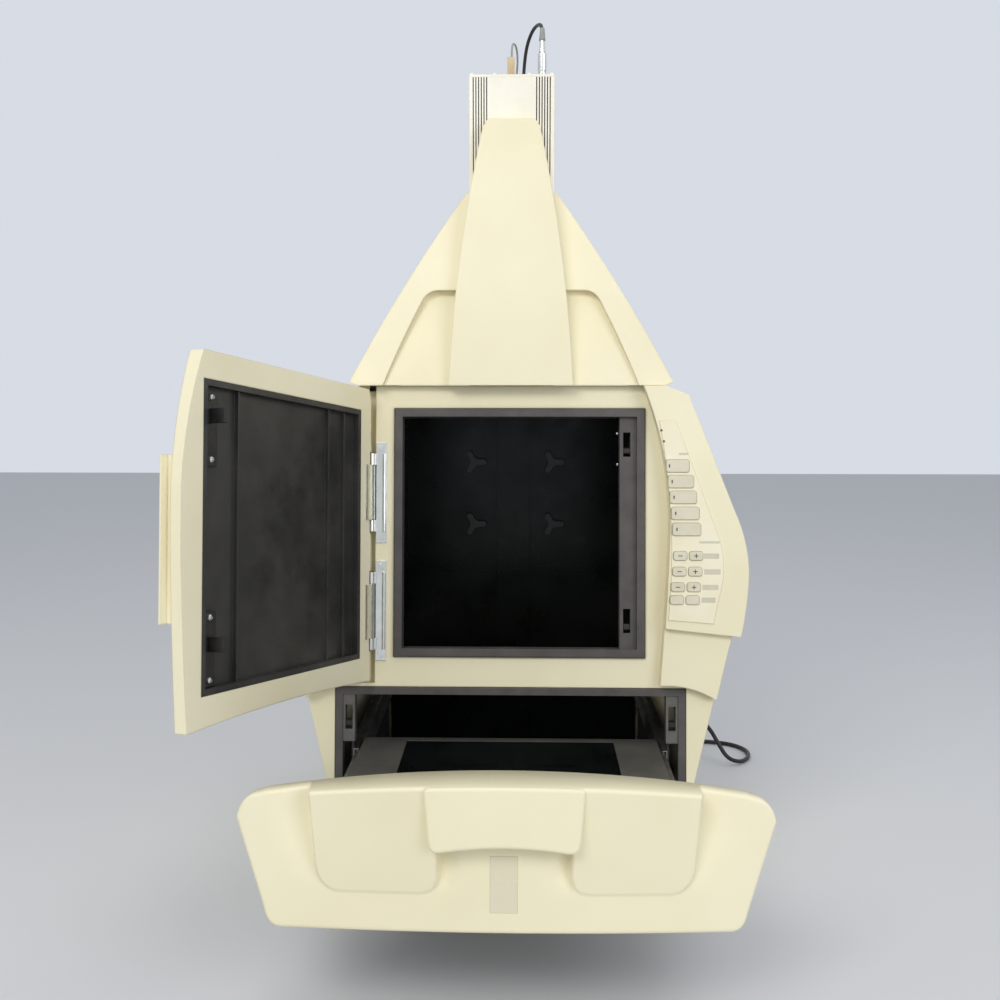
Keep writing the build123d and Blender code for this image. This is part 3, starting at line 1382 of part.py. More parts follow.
mains_tail = cord_tube("mains_tail", tail_route, cord_diameter)
mains_cable = Compound([mains_lead.solid(), mains_tail.solid()])
mains_cable.label = "mains_cable"
export_step(mains_cable, "parts/mains_cable.step")

with BuildPart() as mains_coil:
    with BuildSketch(Plane(origin=(coil_x, coil_y, 0), x_dir=(1, 0, 0), z_dir=(0, -1, 0))):
        with Locations((coil_radius, 0.05 + coil_tall / 2)):
            RectangleRounded(2 * coil_half_wide, coil_tall, 3.2)
    revolve(axis=Axis((coil_x, coil_y, 0), (0, 0, 1)))
    with BuildSketch(Plane(origin=(exit_x, lap_y, cord_low), x_dir=(0, 1, 0),
                           z_dir=(1, 0, 0))):
        Circle(cord_diameter / 2)
    extrude(amount=entry_x - exit_x)
mains_coil.part.label = "mains_coil"
export_step(mains_coil.part, "parts/mains_coil.step")

plug_plane = Plane(origin=plug_point, x_dir=plug_heading.cross(Vector(0, 0, 1)),
                   z_dir=plug_heading)
with BuildPart() as mains_plug:
    with BuildSketch(plug_plane) as neck:
        Circle(5)
    with BuildSketch(plug_plane.offset(14)) as shoulder:
        RectangleRounded(24, 20, 6)
    with BuildSketch(plug_plane.offset(40)) as nose:
        RectangleRounded(25, 21.6, 7)
    loft([neck.sketch, shoulder.sketch])
    loft([shoulder.sketch, nose.sketch])
    with BuildSketch(plug_plane.offset(40)):
        with Locations((-6.35, 3.5), (6.35, 3.5)):
            Rectangle(1.5, 6.4)
        with Locations((0, -8 + 2.4)):
            Circle(2.4)
    extrude(amount=16)
mains_plug.part.label = "mains_plug"
export_step(mains_plug.part, "parts/mains_plug.step")
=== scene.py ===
"""Gel documentation system, dressed for rendering: cabinet with its door open and its
drawer out, hood and camera tower. Metres, +Z up, front towards -Y."""
import math
import bpy
import numpy as np
from mathutils import Matrix, Vector


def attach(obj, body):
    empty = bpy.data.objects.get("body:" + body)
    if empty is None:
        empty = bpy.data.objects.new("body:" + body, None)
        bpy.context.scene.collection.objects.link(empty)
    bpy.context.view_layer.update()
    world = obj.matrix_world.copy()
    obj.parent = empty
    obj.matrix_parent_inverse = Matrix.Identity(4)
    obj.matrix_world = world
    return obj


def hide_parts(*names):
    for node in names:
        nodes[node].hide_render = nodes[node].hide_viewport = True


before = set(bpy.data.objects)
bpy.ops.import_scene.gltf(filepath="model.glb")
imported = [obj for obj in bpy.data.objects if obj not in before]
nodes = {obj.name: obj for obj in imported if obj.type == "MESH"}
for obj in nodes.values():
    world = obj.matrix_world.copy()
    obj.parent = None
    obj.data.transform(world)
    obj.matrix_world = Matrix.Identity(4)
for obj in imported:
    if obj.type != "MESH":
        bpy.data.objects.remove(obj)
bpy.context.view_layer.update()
scene = bpy.context.scene
scene.view_settings.view_transform = "Standard"

# The cabinet's middle plane, the level that part heights are counted from, and the
# foot and lean of its front face
MIDDLE = 0.012
DATUM = 0.057
FACE_FOOT = -0.0226
LEAN = math.radians(7.5)
OUT = np.array([0.0, -math.cos(LEAN), math.sin(LEAN)])
UP = np.array([0.0, math.sin(LEAN), math.cos(LEAN)])
RIGHT = np.array([1.0, 0.0, 0.0])
DOOR_OPEN = math.radians(110.2)
DRAWER_OUT = 0.310


# Colours and materials

def linear(hex_colour):
    """An sRGB hex colour as linear red, green, blue and alpha."""
    parts = [int(hex_colour[k:k + 2], 16) / 255 for k in (0, 2, 4)]
    return [c / 12.92 if c <= 0.04045 else ((c + 0.055) / 1.055) ** 2.4 for c in parts] + [1]


def add_node(tree, kind, settings=(), links=(), **values):
    """Adds a shader node: settings are its own properties, values its sockets by name
    with underscores for spaces, and links pairs of (socket it feeds from, input)."""
    node = tree.nodes.new(kind)
    for name, value in dict(settings).items():
        setattr(node, name, value)
    for name, value in values.items():
        node.inputs[name.replace("_", " ")].default_value = value
    for source, target in links:
        tree.links.new(source, node.inputs[target])
    return node


def new_material(name, colour, roughness, metallic=0.0, **sockets):
    """A Principled material; returns it with its tree, shader and object coordinates."""
    material = bpy.data.materials.new(name)
    material.use_nodes = True
    tree = material.node_tree
    shader = tree.nodes["Principled BSDF"]
    shader.inputs["Base Color"].default_value = linear(colour)
    shader.inputs["Roughness"].default_value = roughness
    shader.inputs["Metallic"].default_value = metallic
    for socket, value in sockets.items():
        shader.inputs[socket.replace("_", " ")].default_value = value
    where = add_node(tree, "ShaderNodeTexCoord")
    return material, tree, shader, where.outputs["Object"]


def mottle(tree, shader, place, colours, size, detail=3.0, low=0.35, high=0.65):
    """Varies the base colour between two hex colours in patches of a size in metres."""
    noise = add_node(tree, "ShaderNodeTexNoise", links=[(place, "Vector")],
                     Scale=1 / size, Detail=detail, Roughness=0.55)
    ramp = add_node(tree, "ShaderNodeValToRGB", links=[(noise.outputs["Fac"], "Fac")])
    for stop, at, colour in zip(ramp.color_ramp.elements, (low, high), colours):
        stop.position = at
        stop.color = linear(colour)
    tree.links.new(ramp.outputs["Color"], shader.inputs["Base Color"])


def uneven_gloss(tree, shader, place, low, high, size):
    """Varies the roughness between two values in patches of a size in metres."""
    noise = add_node(tree, "ShaderNodeTexNoise", links=[(place, "Vector")],
                     Scale=1 / size, Detail=4.0)
    span = add_node(tree, "ShaderNodeMapRange", links=[(noise.outputs["Fac"], "Value")],
                    From_Min=0.3, From_Max=0.7, To_Min=low, To_Max=high)
    tree.links.new(span.outputs["Result"], shader.inputs["Roughness"])


def grain_bump(tree, shader, place, size, strength, depth=0.0002, edge=0.0008):
    """Raises a fine pebbled grain, its pits a size in metres apart, and takes the
    sharpness off the mould's edges by a radius in metres."""
    noise = add_node(tree, "ShaderNodeTexNoise", links=[(place, "Vector")],
                     Scale=1 / size, Detail=2.0)
    soft_edge = add_node(tree, "ShaderNodeBevel", {"samples": 4}, Radius=edge)
    bump = add_node(tree, "ShaderNodeBump", links=[(noise.outputs["Fac"], "Height"),
                                                   (soft_edge.outputs["Normal"], "Normal")],
                    Strength=strength, Distance=depth)
    tree.links.new(bump.outputs["Normal"], shader.inputs["Normal"])


def painted_edge_shade(tree, shader, width, colour):
    """Paints shade on a plate within a width of its edges, where its bevelled normal leaves its
    own: a painted shade line round a key, the overlay or a label."""
    soft = add_node(tree, "ShaderNodeBevel", {"samples": 6}, Radius=width)
    plain = add_node(tree, "ShaderNodeNewGeometry")
    turn = add_node(tree, "ShaderNodeVectorMath", {"operation": "DOT_PRODUCT"})
    tree.links.new(soft.outputs["Normal"], turn.inputs[0])
    tree.links.new(plain.outputs["True Normal"], turn.inputs[1])
    near = add_node(tree, "ShaderNodeMapRange", links=[(turn.outputs["Value"], "Value")],
                    From_Min=1.0, From_Max=0.9)
    before = shader.inputs["Base Color"].links[0].from_socket
    mixed = add_node(tree, "ShaderNodeMixRGB", links=[(near.outputs["Result"], "Fac"),
                                                      (before, "Color1")],
                     Color2=linear(colour))
    tree.links.new(mixed.outputs["Color"], shader.inputs["Base Color"])


def shell_plastic():
    """Injection-moulded ABS in cream: satin, faintly pebbled, a little yellowed in
    patches."""
    material, tree, shader, place = new_material("moulded_abs_cream", "F3EAC8", 0.42)
    mottle(tree, shader, place, ("F0E7C3", "F6EECD"), 0.22)
    uneven_gloss(tree, shader, place, 0.36, 0.48, 0.05)
    grain_bump(tree, shader, place, 0.0009, 0.10, edge=0.0022)
    return material


def frame_plastic():
    """Dark grey polycarbonate frame: satin, with finer grain than the shells."""
    material, tree, shader, place = new_material("moulded_polycarbonate_grey", "504C49", 0.5)
    mottle(tree, shader, place, ("4B4744", "57524F"), 0.03)
    grain_bump(tree, shader, place, 0.0007, 0.15)
    return material


def liner_plastic():
    """Vacuum-formed black ABS: low sheen with soft cloudy handling marks."""
    material, tree, shader, place = new_material("vacuum_formed_abs_black", "2C2B29", 0.42)
    mottle(tree, shader, place, ("292826", "3B3936"), 0.07, detail=5.0)
    uneven_gloss(tree, shader, place, 0.34, 0.56, 0.03)
    grain_bump(tree, shader, place, 0.0012, 0.2)
    return material


def black_plastic():
    """Moulded nylon in black: latches, housings and fan, slightly shiny edges."""
    material, tree, shader, place = new_material("moulded_nylon_black", "1B1A1A", 0.38)
    mottle(tree, shader, place, ("171616", "262424"), 0.012)
    grain_bump(tree, shader, place, 0.0008, 0.12)
    return material


def chamber_paint():
    """Black chamber paint on folded sheet, with a green cast where light grazes it."""
    material, tree, shader, place = new_material("baked_enamel_black_green", "060A08", 0.28)
    mottle(tree, shader, place, ("040706", "0A100D"), 0.09)
    shader.inputs["Specular IOR Level"].default_value = 0.25
    uneven_gloss(tree, shader, place, 0.22, 0.38, 0.04)
    return material


def plain_metal(name, colours, low, high, metallic, patch, grain=0.0, line=None):
    """A metal or metallic paint whose gloss and tone vary a little in patches; a line colour
    paints shade along its edges.
    """
    material, tree, shader, place = new_material(name, colours[0], low, metallic)
    mottle(tree, shader, place, colours, patch)
    uneven_gloss(tree, shader, place, low, high, patch / 3)
    grain_bump(tree, shader, place, grain or 0.0005, 0.1 if grain else 0.03, edge=0.0006)
    # A line colour paints a shade line round the plate's edges
    if line:
        painted_edge_shade(tree, shader, 0.0007, line)
    return material


def cord_rubber():
    """Black PVC mains jacket: soft sheen, with fine lengthwise drag marks."""
    material, tree, shader, place = new_material("extruded_pvc_black", "141414", 0.4)
    mottle(tree, shader, place, ("101010", "1E1D1D"), 0.02)
    grain_bump(tree, shader, place, 0.0010, 0.15)
    return material


CREAM = shell_plastic()
FRAME_GREY = frame_plastic()
LINER = liner_plastic()
BLACK = black_plastic()
CHAMBER = chamber_paint()
PVC = cord_rubber()
CHROME = plain_metal("chrome_plate", ("D8D9D2", "E6E6E0"), 0.08, 0.18, 1.0, 0.02)
TOWER = plain_metal("powder_coated_aluminium_white", ("FFFBEC", "F7F1DF"), 0.36, 0.5, 0.0, 0.08,
                    0.0007)
ZINC = plain_metal("zinc_plated_steel", ("8D8E8A", "A9A9A3"), 0.3, 0.45, 0.9, 0.02)
PAINTED_BACK = plain_metal("powder_coated_steel_cream", ("EFE6CB", "F5EDD6"), 0.45, 0.6, 0.0,
                           0.1, 0.0009)
BASE_PAINT = plain_metal("powder_coated_steel_charcoal", ("2C2B2A", "383634"), 0.5, 0.65, 0.0,
                         0.06, 0.0009)
CAMERA_BLACK = plain_metal("anodised_aluminium_black", ("151515", "222222"), 0.3, 0.45, 0.6,
                           0.02)
TRAY_METAL = plain_metal("satin_aluminium_tray", ("5B5954", "68665F"), 0.34, 0.48, 0.35, 0.06)
FOOT_RUBBER = plain_metal("moulded_rubber_black", ("1A1918", "242322"), 0.7, 0.85, 0.0, 0.02,
                          0.0010)
GREY_JACKET = plain_metal("extruded_pvc_grey", ("8E9088", "9DA097"), 0.4, 0.55, 0.0, 0.01)
# Keys and the overlay carry a painted shade line round their edges, in 8F8867
KEY_CREAM = plain_metal("silicone_key_cream", ("D9D2B6", "E0DAC2"), 0.5, 0.62, 0.0, 0.02,
                        line="8F8867")
OVERLAY = plain_metal("polyester_overlay_cream", ("F4EBCB", "F8F1D6"), 0.3, 0.4, 0.0, 0.05,
                      line="8F8867")
CATCH_GREY = plain_metal("moulded_nylon_grey", ("5C5B57", "686762"), 0.4, 0.55, 0.0, 0.02)
BEIGE_PLUG = plain_metal("moulded_pbt_beige", ("C3AB84", "D0BA94"), 0.42, 0.52, 0.0, 0.01)


def filter_glass():
    """Black-light filter glass: nearly black, polished, a mirror at grazing angles."""
    material, tree, shader, place = new_material("polished_filter_glass", "0A0C0C", 0.04,
                                                 IOR=1.52)
    mottle(tree, shader, place, ("080A0A", "101413"), 0.06)
    uneven_gloss(tree, shader, place, 0.02, 0.09, 0.03)
    return material


def lamp_glass():
    """Coated ultraviolet lamp tube: deep violet glass with a soft shine."""
    material, tree, shader, place = new_material("coated_lamp_glass", "2A2140", 0.12)
    mottle(tree, shader, place, ("241C38", "352B4E"), 0.02)
    return material


GLASS = filter_glass()
LAMP = lamp_glass()

NODE_MATERIALS = {
    "base_plate": BASE_PAINT, "feet": FOOT_RUBBER, "front_bezel": CREAM,
    "side_cover_left": CREAM, "side_cover_right": CREAM, "rear_panel": PAINTED_BACK,
    "chamber_liner": CHAMBER, "trilobe_knobs": BLACK, "aperture_frame": FRAME_GREY,
    "bay_frame": FRAME_GREY, "drawer_catches": CATCH_GREY, "hinge_fixed_leaves": CHROME,
    "hinge_moving_leaves": CHROME, "slide_outers": ZINC, "slide_middles": ZINC,
    "hood_cover": CREAM, "tower_shell": TOWER, "tower_cap": TOWER,
    "camera_body": CAMERA_BLACK, "lens_barrel": CAMERA_BLACK, "zoom_ring": FOOT_RUBBER,
    "focus_ring": FOOT_RUBBER, "control_overlay": OVERLAY, "power_supply": ZINC,
    "fan_frame": BLACK, "fan_rotor": BLACK, "mains_inlet": BLACK, "power_rocker": BLACK,
    "cap_connectors": CHROME, "camera_cable": PVC, "lens_lead": GREY_JACKET,
    "mains_connector": PVC, "mains_plug": PVC, "door_shell": CREAM, "door_liner": LINER,
    "latch_plates": BLACK, "drawer_front": CREAM, "tray_box": TRAY_METAL,
    "tray_lid": TRAY_METAL, "filter_glass": GLASS, "uv_tubes": LAMP,
}
for node_name, obj in nodes.items():
    finish = NODE_MATERIALS.get(node_name)
    if finish is None:
        finish = KEY_CREAM if "_key_" in node_name else BLACK
    obj.data.materials.clear()
    obj.data.materials.append(finish)


# Places on the leaning face, the drawer and the door, in millimetres as part.py counts
# them: x from the middle, height above the datum and offset from the face

MM = 0.001
RUN = MM / math.cos(LEAN)
HINGE = np.array([MIDDLE - 0.173, FACE_FOOT, DATUM]) + OUT * 0.008
DOOR_ALONG = RIGHT * math.cos(DOOR_OPEN) + OUT * math.sin(DOOR_OPEN)
DOOR_FACING = OUT * math.cos(DOOR_OPEN) - RIGHT * math.sin(DOOR_OPEN)


def on_face(x, height, offset, pulled=0.0):
    """Points of the cabinet's face: the foot, pulled forwards, plus x to the right,
    height up the lean and offset outwards."""
    x, height, offset = np.broadcast_arrays(x, height, offset)
    foot = np.array([MIDDLE, FACE_FOOT - pulled, DATUM])
    return (foot + x[..., None] * MM * RIGHT + height[..., None] * RUN * UP
            + offset[..., None] * MM * OUT)


def on_drawer(x, height, offset):
    """Points of the open drawer, counted as on the closed one."""
    return on_face(x, height, offset, pulled=DRAWER_OUT)


def on_door(x, height, offset):
    """Points of the open door, counted as on the closed one: from the hinge's axis
    along the door, up the lean and out of its face."""
    x, height, offset = np.broadcast_arrays(x, height, offset)
    return (HINGE + (x[..., None] + 173) * MM * DOOR_ALONG + height[..., None] * RUN * UP
            + (offset[..., None] - 8) * MM * DOOR_FACING)


def mesh_piece(name, points, faces, material, body, smooth=True, stands_for=()):
    """A piece from points and faces, which rides on a body."""
    mesh = bpy.data.meshes.new(name)
    mesh.from_pydata(np.asarray(points).reshape(-1, 3).tolist(), [],
                     [tuple(int(k) for k in face) for face in faces])
    mesh.update()
    mesh.polygons.foreach_set("use_smooth", [smooth] * len(mesh.polygons))
    obj = bpy.data.objects.new(name, mesh)
    scene.collection.objects.link(obj)
    obj.data.materials.append(material)
    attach(obj, body)
    if stands_for:
        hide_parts(*stands_for)
    return obj


def grid_quads(rows, columns, closed=False):
    """Quads between neighbouring rows of points; closed joins each row's ends."""
    across = columns if closed else columns - 1
    row, column = np.meshgrid(np.arange(rows - 1), np.arange(across), indexing="ij")
    beside = (column + 1) % columns
    quads = np.stack([row * columns + column, row * columns + beside,
                      (row + 1) * columns + beside, (row + 1) * columns + column], -1)
    return quads.reshape(-1, 4).tolist()


# Faces of a box whose corners go by the first axis fastest
BOX_FACES = [(0, 2, 3, 1), (4, 5, 7, 6), (0, 1, 5, 4), (2, 6, 7, 3), (0, 4, 6, 2),
             (1, 3, 7, 5)]


def ease(t):
    """A smooth step from 0 at 0 to 1 at 1."""
    t = np.clip(t, 0, 1)
    return t * t * (3 - 2 * t)


def corner(start, middle, end, count=24):
    """A rounded corner: the quadratic curve from start to end that middle pulls out."""
    t = np.linspace(0, 1, count)[:, None]
    return (1 - t) ** 2 * np.array(start) + 2 * t * (1 - t) * np.array(middle) \
        + t ** 2 * np.array(end)


def resample(path, count):
    """A path's points again, evenly spaced along it."""
    steps = np.r_[0, np.cumsum(np.hypot(*np.diff(path, axis=0).T))]
    at = np.linspace(0, steps[-1], count)
    return np.stack([np.interp(at, steps, path[:, k]) for k in (0, 1)], axis=1)


def outline_distance(points, outline):
    """Distance from points to a closed outline, below zero inside it: the least over its
    segments, and its sign from how often a level line to the right crosses it."""
    a, b = outline, np.roll(outline, -1, axis=0)
    flat = points.reshape(-1, 1, 2)
    along = b - a
    t = np.clip(((flat - a) * along).sum(-1) / (along ** 2).sum(-1), 0, 1)
    near = a + t[..., None] * along
    away = np.sqrt(((flat - near) ** 2).sum(-1)).min(1)
    spans = (a[:, 1] > flat[..., 1]) != (b[:, 1] > flat[..., 1])
    rise = np.where(along[:, 1] == 0, 1e-9, along[:, 1])
    crossing = a[:, 0] + (flat[..., 1] - a[:, 1]) * along[:, 0] / rise
    inside = (spans & (flat[..., 0] < crossing)).sum(1) % 2 == 1
    return np.where(inside, -away, away).reshape(points.shape[:-1])


def moulded_panel(sides, field, rim, rings):
    """Points in x, height and offset, and faces, of a moulded panel. sides are its
    bottom, right, top and left edges. Its front blends the four edges, moved in by the
    rim, as (1-v) bottom + v top + (1-u) left + u right less the blend of the corners,
    and stands out by field. The rim is a quarter round, and each of rings, as (inward
    shift, offset), carries the wall on. The last ring is closed flat."""
    bottom, right, top, left = sides
    columns, rows = len(bottom), len(left)
    loop = np.concatenate([bottom[:-1], right[:-1], top[::-1][:-1], left[::-1][:-1]])
    tangent = np.roll(loop, -1, axis=0) - np.roll(loop, 1, axis=0)
    normal = np.stack([tangent[:, 1], -tangent[:, 0]], 1)
    normal /= np.linalg.norm(normal, axis=1, keepdims=True)
    inner = loop - rim * normal
    ends = np.cumsum([0, columns - 1, rows - 1, columns - 1])
    low = inner[ends[0]:ends[1] + 1]
    far = inner[ends[1]:ends[2] + 1]
    high = inner[ends[2]:ends[3] + 1][::-1]
    near = np.concatenate([inner[ends[3]:], inner[:1]])[::-1]
    u = np.linspace(0, 1, columns)[None, :, None]
    v = np.linspace(0, 1, rows)[:, None, None]
    flat = ((1 - v) * low[None] + v * high[None] + (1 - u) * near[:, None] + u * far[:, None]
            - ((1 - u) * (1 - v) * low[0] + u * (1 - v) * low[-1]
               + (1 - u) * v * high[0] + u * v * high[-1]))
    front = field(flat[..., 0], flat[..., 1])
    points = [np.concatenate([flat, front[..., None]], -1).reshape(-1, 3)]
    faces = grid_quads(rows, columns)
    edge = np.concatenate([np.arange(columns - 1), np.arange(rows - 1) * columns + columns - 1,
                           rows * columns - 1 - np.arange(columns - 1),
                           (rows - 1 - np.arange(rows - 1)) * columns])
    edge_front = front.reshape(-1)[edge]
    count = len(edge)
    layers = [(rim * math.sin(t), edge_front - rim * (1 - math.cos(t)))
              for t in np.linspace(0, math.pi / 2, 6)[1:]]
    layers += [(rim - shift(loop, normal), np.broadcast_to(offset, (count,)))
               for shift, offset in rings]
    start = rows * columns
    previous = edge
    for outward, offset in layers:
        ring = inner + normal * np.broadcast_to(outward, (count,))[:, None]
        points.append(np.concatenate([ring, offset[:, None]], 1))
        here = start + np.arange(count)
        beside, before = np.roll(here, -1), np.roll(previous, -1)
        faces += np.stack([previous, here, beside, before], 1).tolist()
        previous = here
        start += count
    faces.append(previous[::-1].tolist())
    return np.concatenate(points), faces


# Drawer front: a bowed panel with two pads, and the grip tab between them

def no_shift(loop, normal):
    """A ring that stays under the one before it."""
    return np.zeros(len(loop))


def edge_path(*parts):
    """Joins stretches of an outline."""
    return np.concatenate(parts)


def four_sides(bottom_right, top_right, bottom_line, top_line, columns, rows):
    """Edges of a panel that is the same left and right. bottom_line and top_line give
    the heights at x. Each corner is a quadratic curve whose middle pulls it out, and its
    halves belong to the two edges that meet there."""
    low = corner(*bottom_right)
    high = corner(*top_right)
    mirror = np.array([-1, 1])
    low_end = low[:len(low) // 2 + 1]
    across = np.linspace(-low_end[0][0], low_end[0][0], 60)[1:-1]
    bottom = edge_path(low_end[::-1] * mirror,
                       np.stack([across, bottom_line(across)], 1), low_end)
    right = edge_path(low[len(low) // 2:], high[:len(high) // 2 + 1])
    high_end = high[len(high) // 2:]
    across = np.linspace(high_end[-1][0], 0, 60)
    rest = np.stack([across, top_line(across)], 1)
    half = edge_path(high_end, rest[1:])
    whole = edge_path(half[:-1], half[::-1] * mirror)[::-1]
    right, whole = resample(right, rows), resample(whole, columns)
    return resample(bottom, columns), right, whole, right * mirror


PAD_OUTLINE = edge_path(np.array([[62.0, 210.0]]), corner((61.5, 107), (61, 87), (80, 87)),
                        corner((152, 87), (172, 87), (177, 112)),
                        np.array([[182.6, 182.0], [184.5, 210.0]]))
TAB_ROOT = np.array([[-66.0, 210.0], [-64, 160], [64, 160], [66, 210]])


def drawer_top_line(x):
    return 194 - 17 * (x / 231) ** 2


def top_fall(x):
    """How much lower the top is at the panel's front than at its back."""
    return 4.2 - 2.9 * (x / 240) ** 2


def front_bow(x):
    """The panel's bow: out by 27 in the middle and by 12 at its ends."""
    return 27 - 15 * (x / 259) ** 2


def front_field(x, height):
    """The panel's front: the bow, less a hollow that leads in to each pad, plus the
    pads, which rise from the bow at their foot to 36 to 46 at their top, and the root of
    the grip tab between them."""
    place = np.stack([np.abs(x), height], -1)
    distance = outline_distance(place, PAD_OUTLINE)
    outside = np.clip(distance, 0, None)
    bow = front_bow(x)
    fade = ease((height - 82) / 80)
    hollow = np.where(np.abs(x) > 62,
                      8.5 * fade * np.exp(-(outside / (17 + 10 * fade)) ** 2),
                      6.5 * ease((height - 82) / 30) * np.exp(-(outside / 14) ** 2))
    base = bow - hollow
    rise = np.clip((height - 87) / 100, 0, None)
    head = 46.5 - 10.5 * (np.abs(x) / 184) ** 2
    pad = bow + 1.4 + (head - bow - 1.4) * rise
    front = base + (pad - base) * ease((1.2 - distance) / 2.6)
    root = ease((1.5 - outline_distance(place, TAB_ROOT)) / 3)
    return front + (45.6 - 1.8 * (x / 75) ** 2 - front) * root


def top_slope(loop, normal):
    """The top's way outwards from the rim to the panel's back."""
    return -top_fall(loop[:, 0]) * np.clip(normal[:, 1], 0, 1) ** 4


PANEL_LOW = 51
PANEL_RIM = 3.4
PANEL_BACK = 0.7
TAB_RIM = 3.2
front_sides = four_sides(((210, PANEL_LOW), (223, PANEL_LOW), (226.5, 68)),
                         ((254, 151), (250, 172), (231, 174.3)), lambda x: PANEL_LOW + 0 * x,
                         lambda x: drawer_top_line(x) - top_fall(x), 400, 118)
panel_points, panel_faces = moulded_panel(front_sides, front_field, PANEL_RIM,
                                          [(top_slope, PANEL_BACK)])

# Hooks behind the panel, which the drawer's pawls catch
HOOK_X = 201.1
HOOK_HALF = 2.5
for hook_x in (-HOOK_X, HOOK_X):
    panel_faces += [[len(panel_points) + k for k in face] for face in BOX_FACES]
    hook = [(x, height, offset) for offset in (-7.0, 0.8) for height in (143.5, 157.5)
            for x in (hook_x - HOOK_HALF, hook_x + HOOK_HALF)]
    panel_points = np.concatenate([panel_points, hook])
mesh_piece("drawer_panel", on_drawer(*panel_points.T), panel_faces, CREAM,
           "drawer", stands_for=("drawer_front",))


def tab_low(x):
    """The tab's arched lower edge."""
    return 130 + 4.6 * (1 - (x / 57) ** 2)


def pocket(loop, normal):
    """The finger pocket: the tab's underside runs up behind its lip."""
    return 25 * ease((58 - np.abs(loop[:, 0])) / 5) * (normal[:, 1] < -0.6)


tab_sides = four_sides(((57, 130), (69, 128), (70, 141)),
                       ((74.0, 182.5), (74.5, 188.0), (69.0, 188.3)), tab_low,
                       lambda x: drawer_top_line(x) - 4.35, 90, 50)
tab_points, tab_faces = moulded_panel(
    tab_sides, lambda x, height: 49.4 - 1.8 * (x / 75) ** 2, TAB_RIM,
    [(no_shift, 41.0), (pocket, 40.6), (pocket, 24.0)])
mesh_piece("grip_tab", on_drawer(*tab_points.T), tab_faces, CREAM,
           "drawer")


# Small plates, marks and screws

RING_POINTS = 32
HEAD_POINTS = 24


def rounded_ring(wide, tall, radius):
    """Points round a rectangle of a half width and half height: a circle of the corner
    radius, whose quarters are moved out to the corners."""
    turns = np.linspace(0, 2 * np.pi, RING_POINTS + 1)[:-1]
    unit = np.stack([np.cos(turns), np.sin(turns)], 1)
    return np.sign(np.round(unit, 6)) * [wide - radius, tall - radius] + unit * radius


def ring_stack(count):
    """Faces of a stack of rounded rings, closed flat at both ends."""
    last = RING_POINTS * (count - 1)
    return grid_quads(count, RING_POINTS, closed=True) + [
        list(range(RING_POINTS - 1, -1, -1)), list(range(last, last + RING_POINTS))]


def plate(name, place, centre, size, offsets, material, body, round_by=0.8):
    """A small plate with rounded corners on a face: its outline, a front ring moved in
    by a chamfer, and flat ends."""
    wide, tall = size[0] / 2, size[1] / 2
    round_by = min(round_by, wide * 0.98, tall * 0.98)
    back, front = offsets
    chamfer = min(0.3 * (front - back), round_by / 2)
    rings = []
    for inset, offset in ((0, back), (0, front - chamfer), (chamfer, front)):
        ring = rounded_ring(wide - inset, tall - inset, round_by - inset) + np.array(centre)
        rings.append(np.c_[ring, np.full(RING_POINTS, offset)])
    points = np.concatenate(rings)
    return mesh_piece(name, place(*points.T), ring_stack(len(rings)), material, body,
                      smooth=False)


def button_head(name, place, centre, radius, offsets, material, body):
    """A screw head: the profile of a low dome with a dimple for its recess, turned round
    the screw's axis."""
    back, front = offsets
    high = front - back
    profile = np.array([(1.0, 0.0), (1.0, 0.25), (0.9, 0.6), (0.65, 0.9), (0.36, 1.0),
                        (0.3, 0.62), (0.0, 0.55)])
    turns = np.linspace(0, 2 * np.pi, HEAD_POINTS + 1)[:-1]
    radii = profile[:-1, :1] * radius
    x = centre[0] + radii * np.cos(turns)
    height = centre[1] + radii * np.sin(turns)
    offset = np.broadcast_to(back + profile[:-1, 1:] * high, x.shape)
    points = np.stack([x, height, offset], -1).reshape(-1, 3)
    points = np.concatenate([points, [[*centre, back + profile[-1, 1] * high]]])
    rows = len(profile) - 1
    faces = grid_quads(rows, HEAD_POINTS, closed=True)
    last = (rows - 1) * HEAD_POINTS
    faces += [[last + k, last + (k + 1) % HEAD_POINTS, len(points) - 1]
              for k in range(HEAD_POINTS)]
    faces.append(list(range(HEAD_POINTS - 1, -1, -1)))
    return mesh_piece(name, place(*points.T), faces, material, body, smooth=False)


MARK_INK = plain_metal("screen_ink_grey", ("4A4843", "56534D"), 0.55, 0.65, 0.0, 0.004)
PALE_INK = plain_metal("screen_ink_stone", ("CFC9B2", "D6D0BA"), 0.5, 0.6, 0.0, 0.01)
LENS_AMBER = plain_metal("led_lens_smoke", ("57553F", "6B684E"), 0.12, 0.2, 0.0, 0.004)
# The label carries a painted shade line round its edges, in B3AA8A
STICKER = plain_metal("vinyl_label_blank", ("E2DABD", "E4DCC0"), 0.22, 0.32, 0.0, 0.1,
                      line="B3AA8A")
SCREW_STEEL = plain_metal("zinc_plated_screw", ("B9B9B2", "CDCDC6"), 0.22, 0.34, 0.9, 0.004)
KEY_TOP = 24.6
OVERLAY_TOP = 23.0
SIGN_OFFSETS = (KEY_TOP - 0.2, KEY_TOP + 0.06)
SIGN_LONG = 5.4
SIGN_WIDE = 1.1

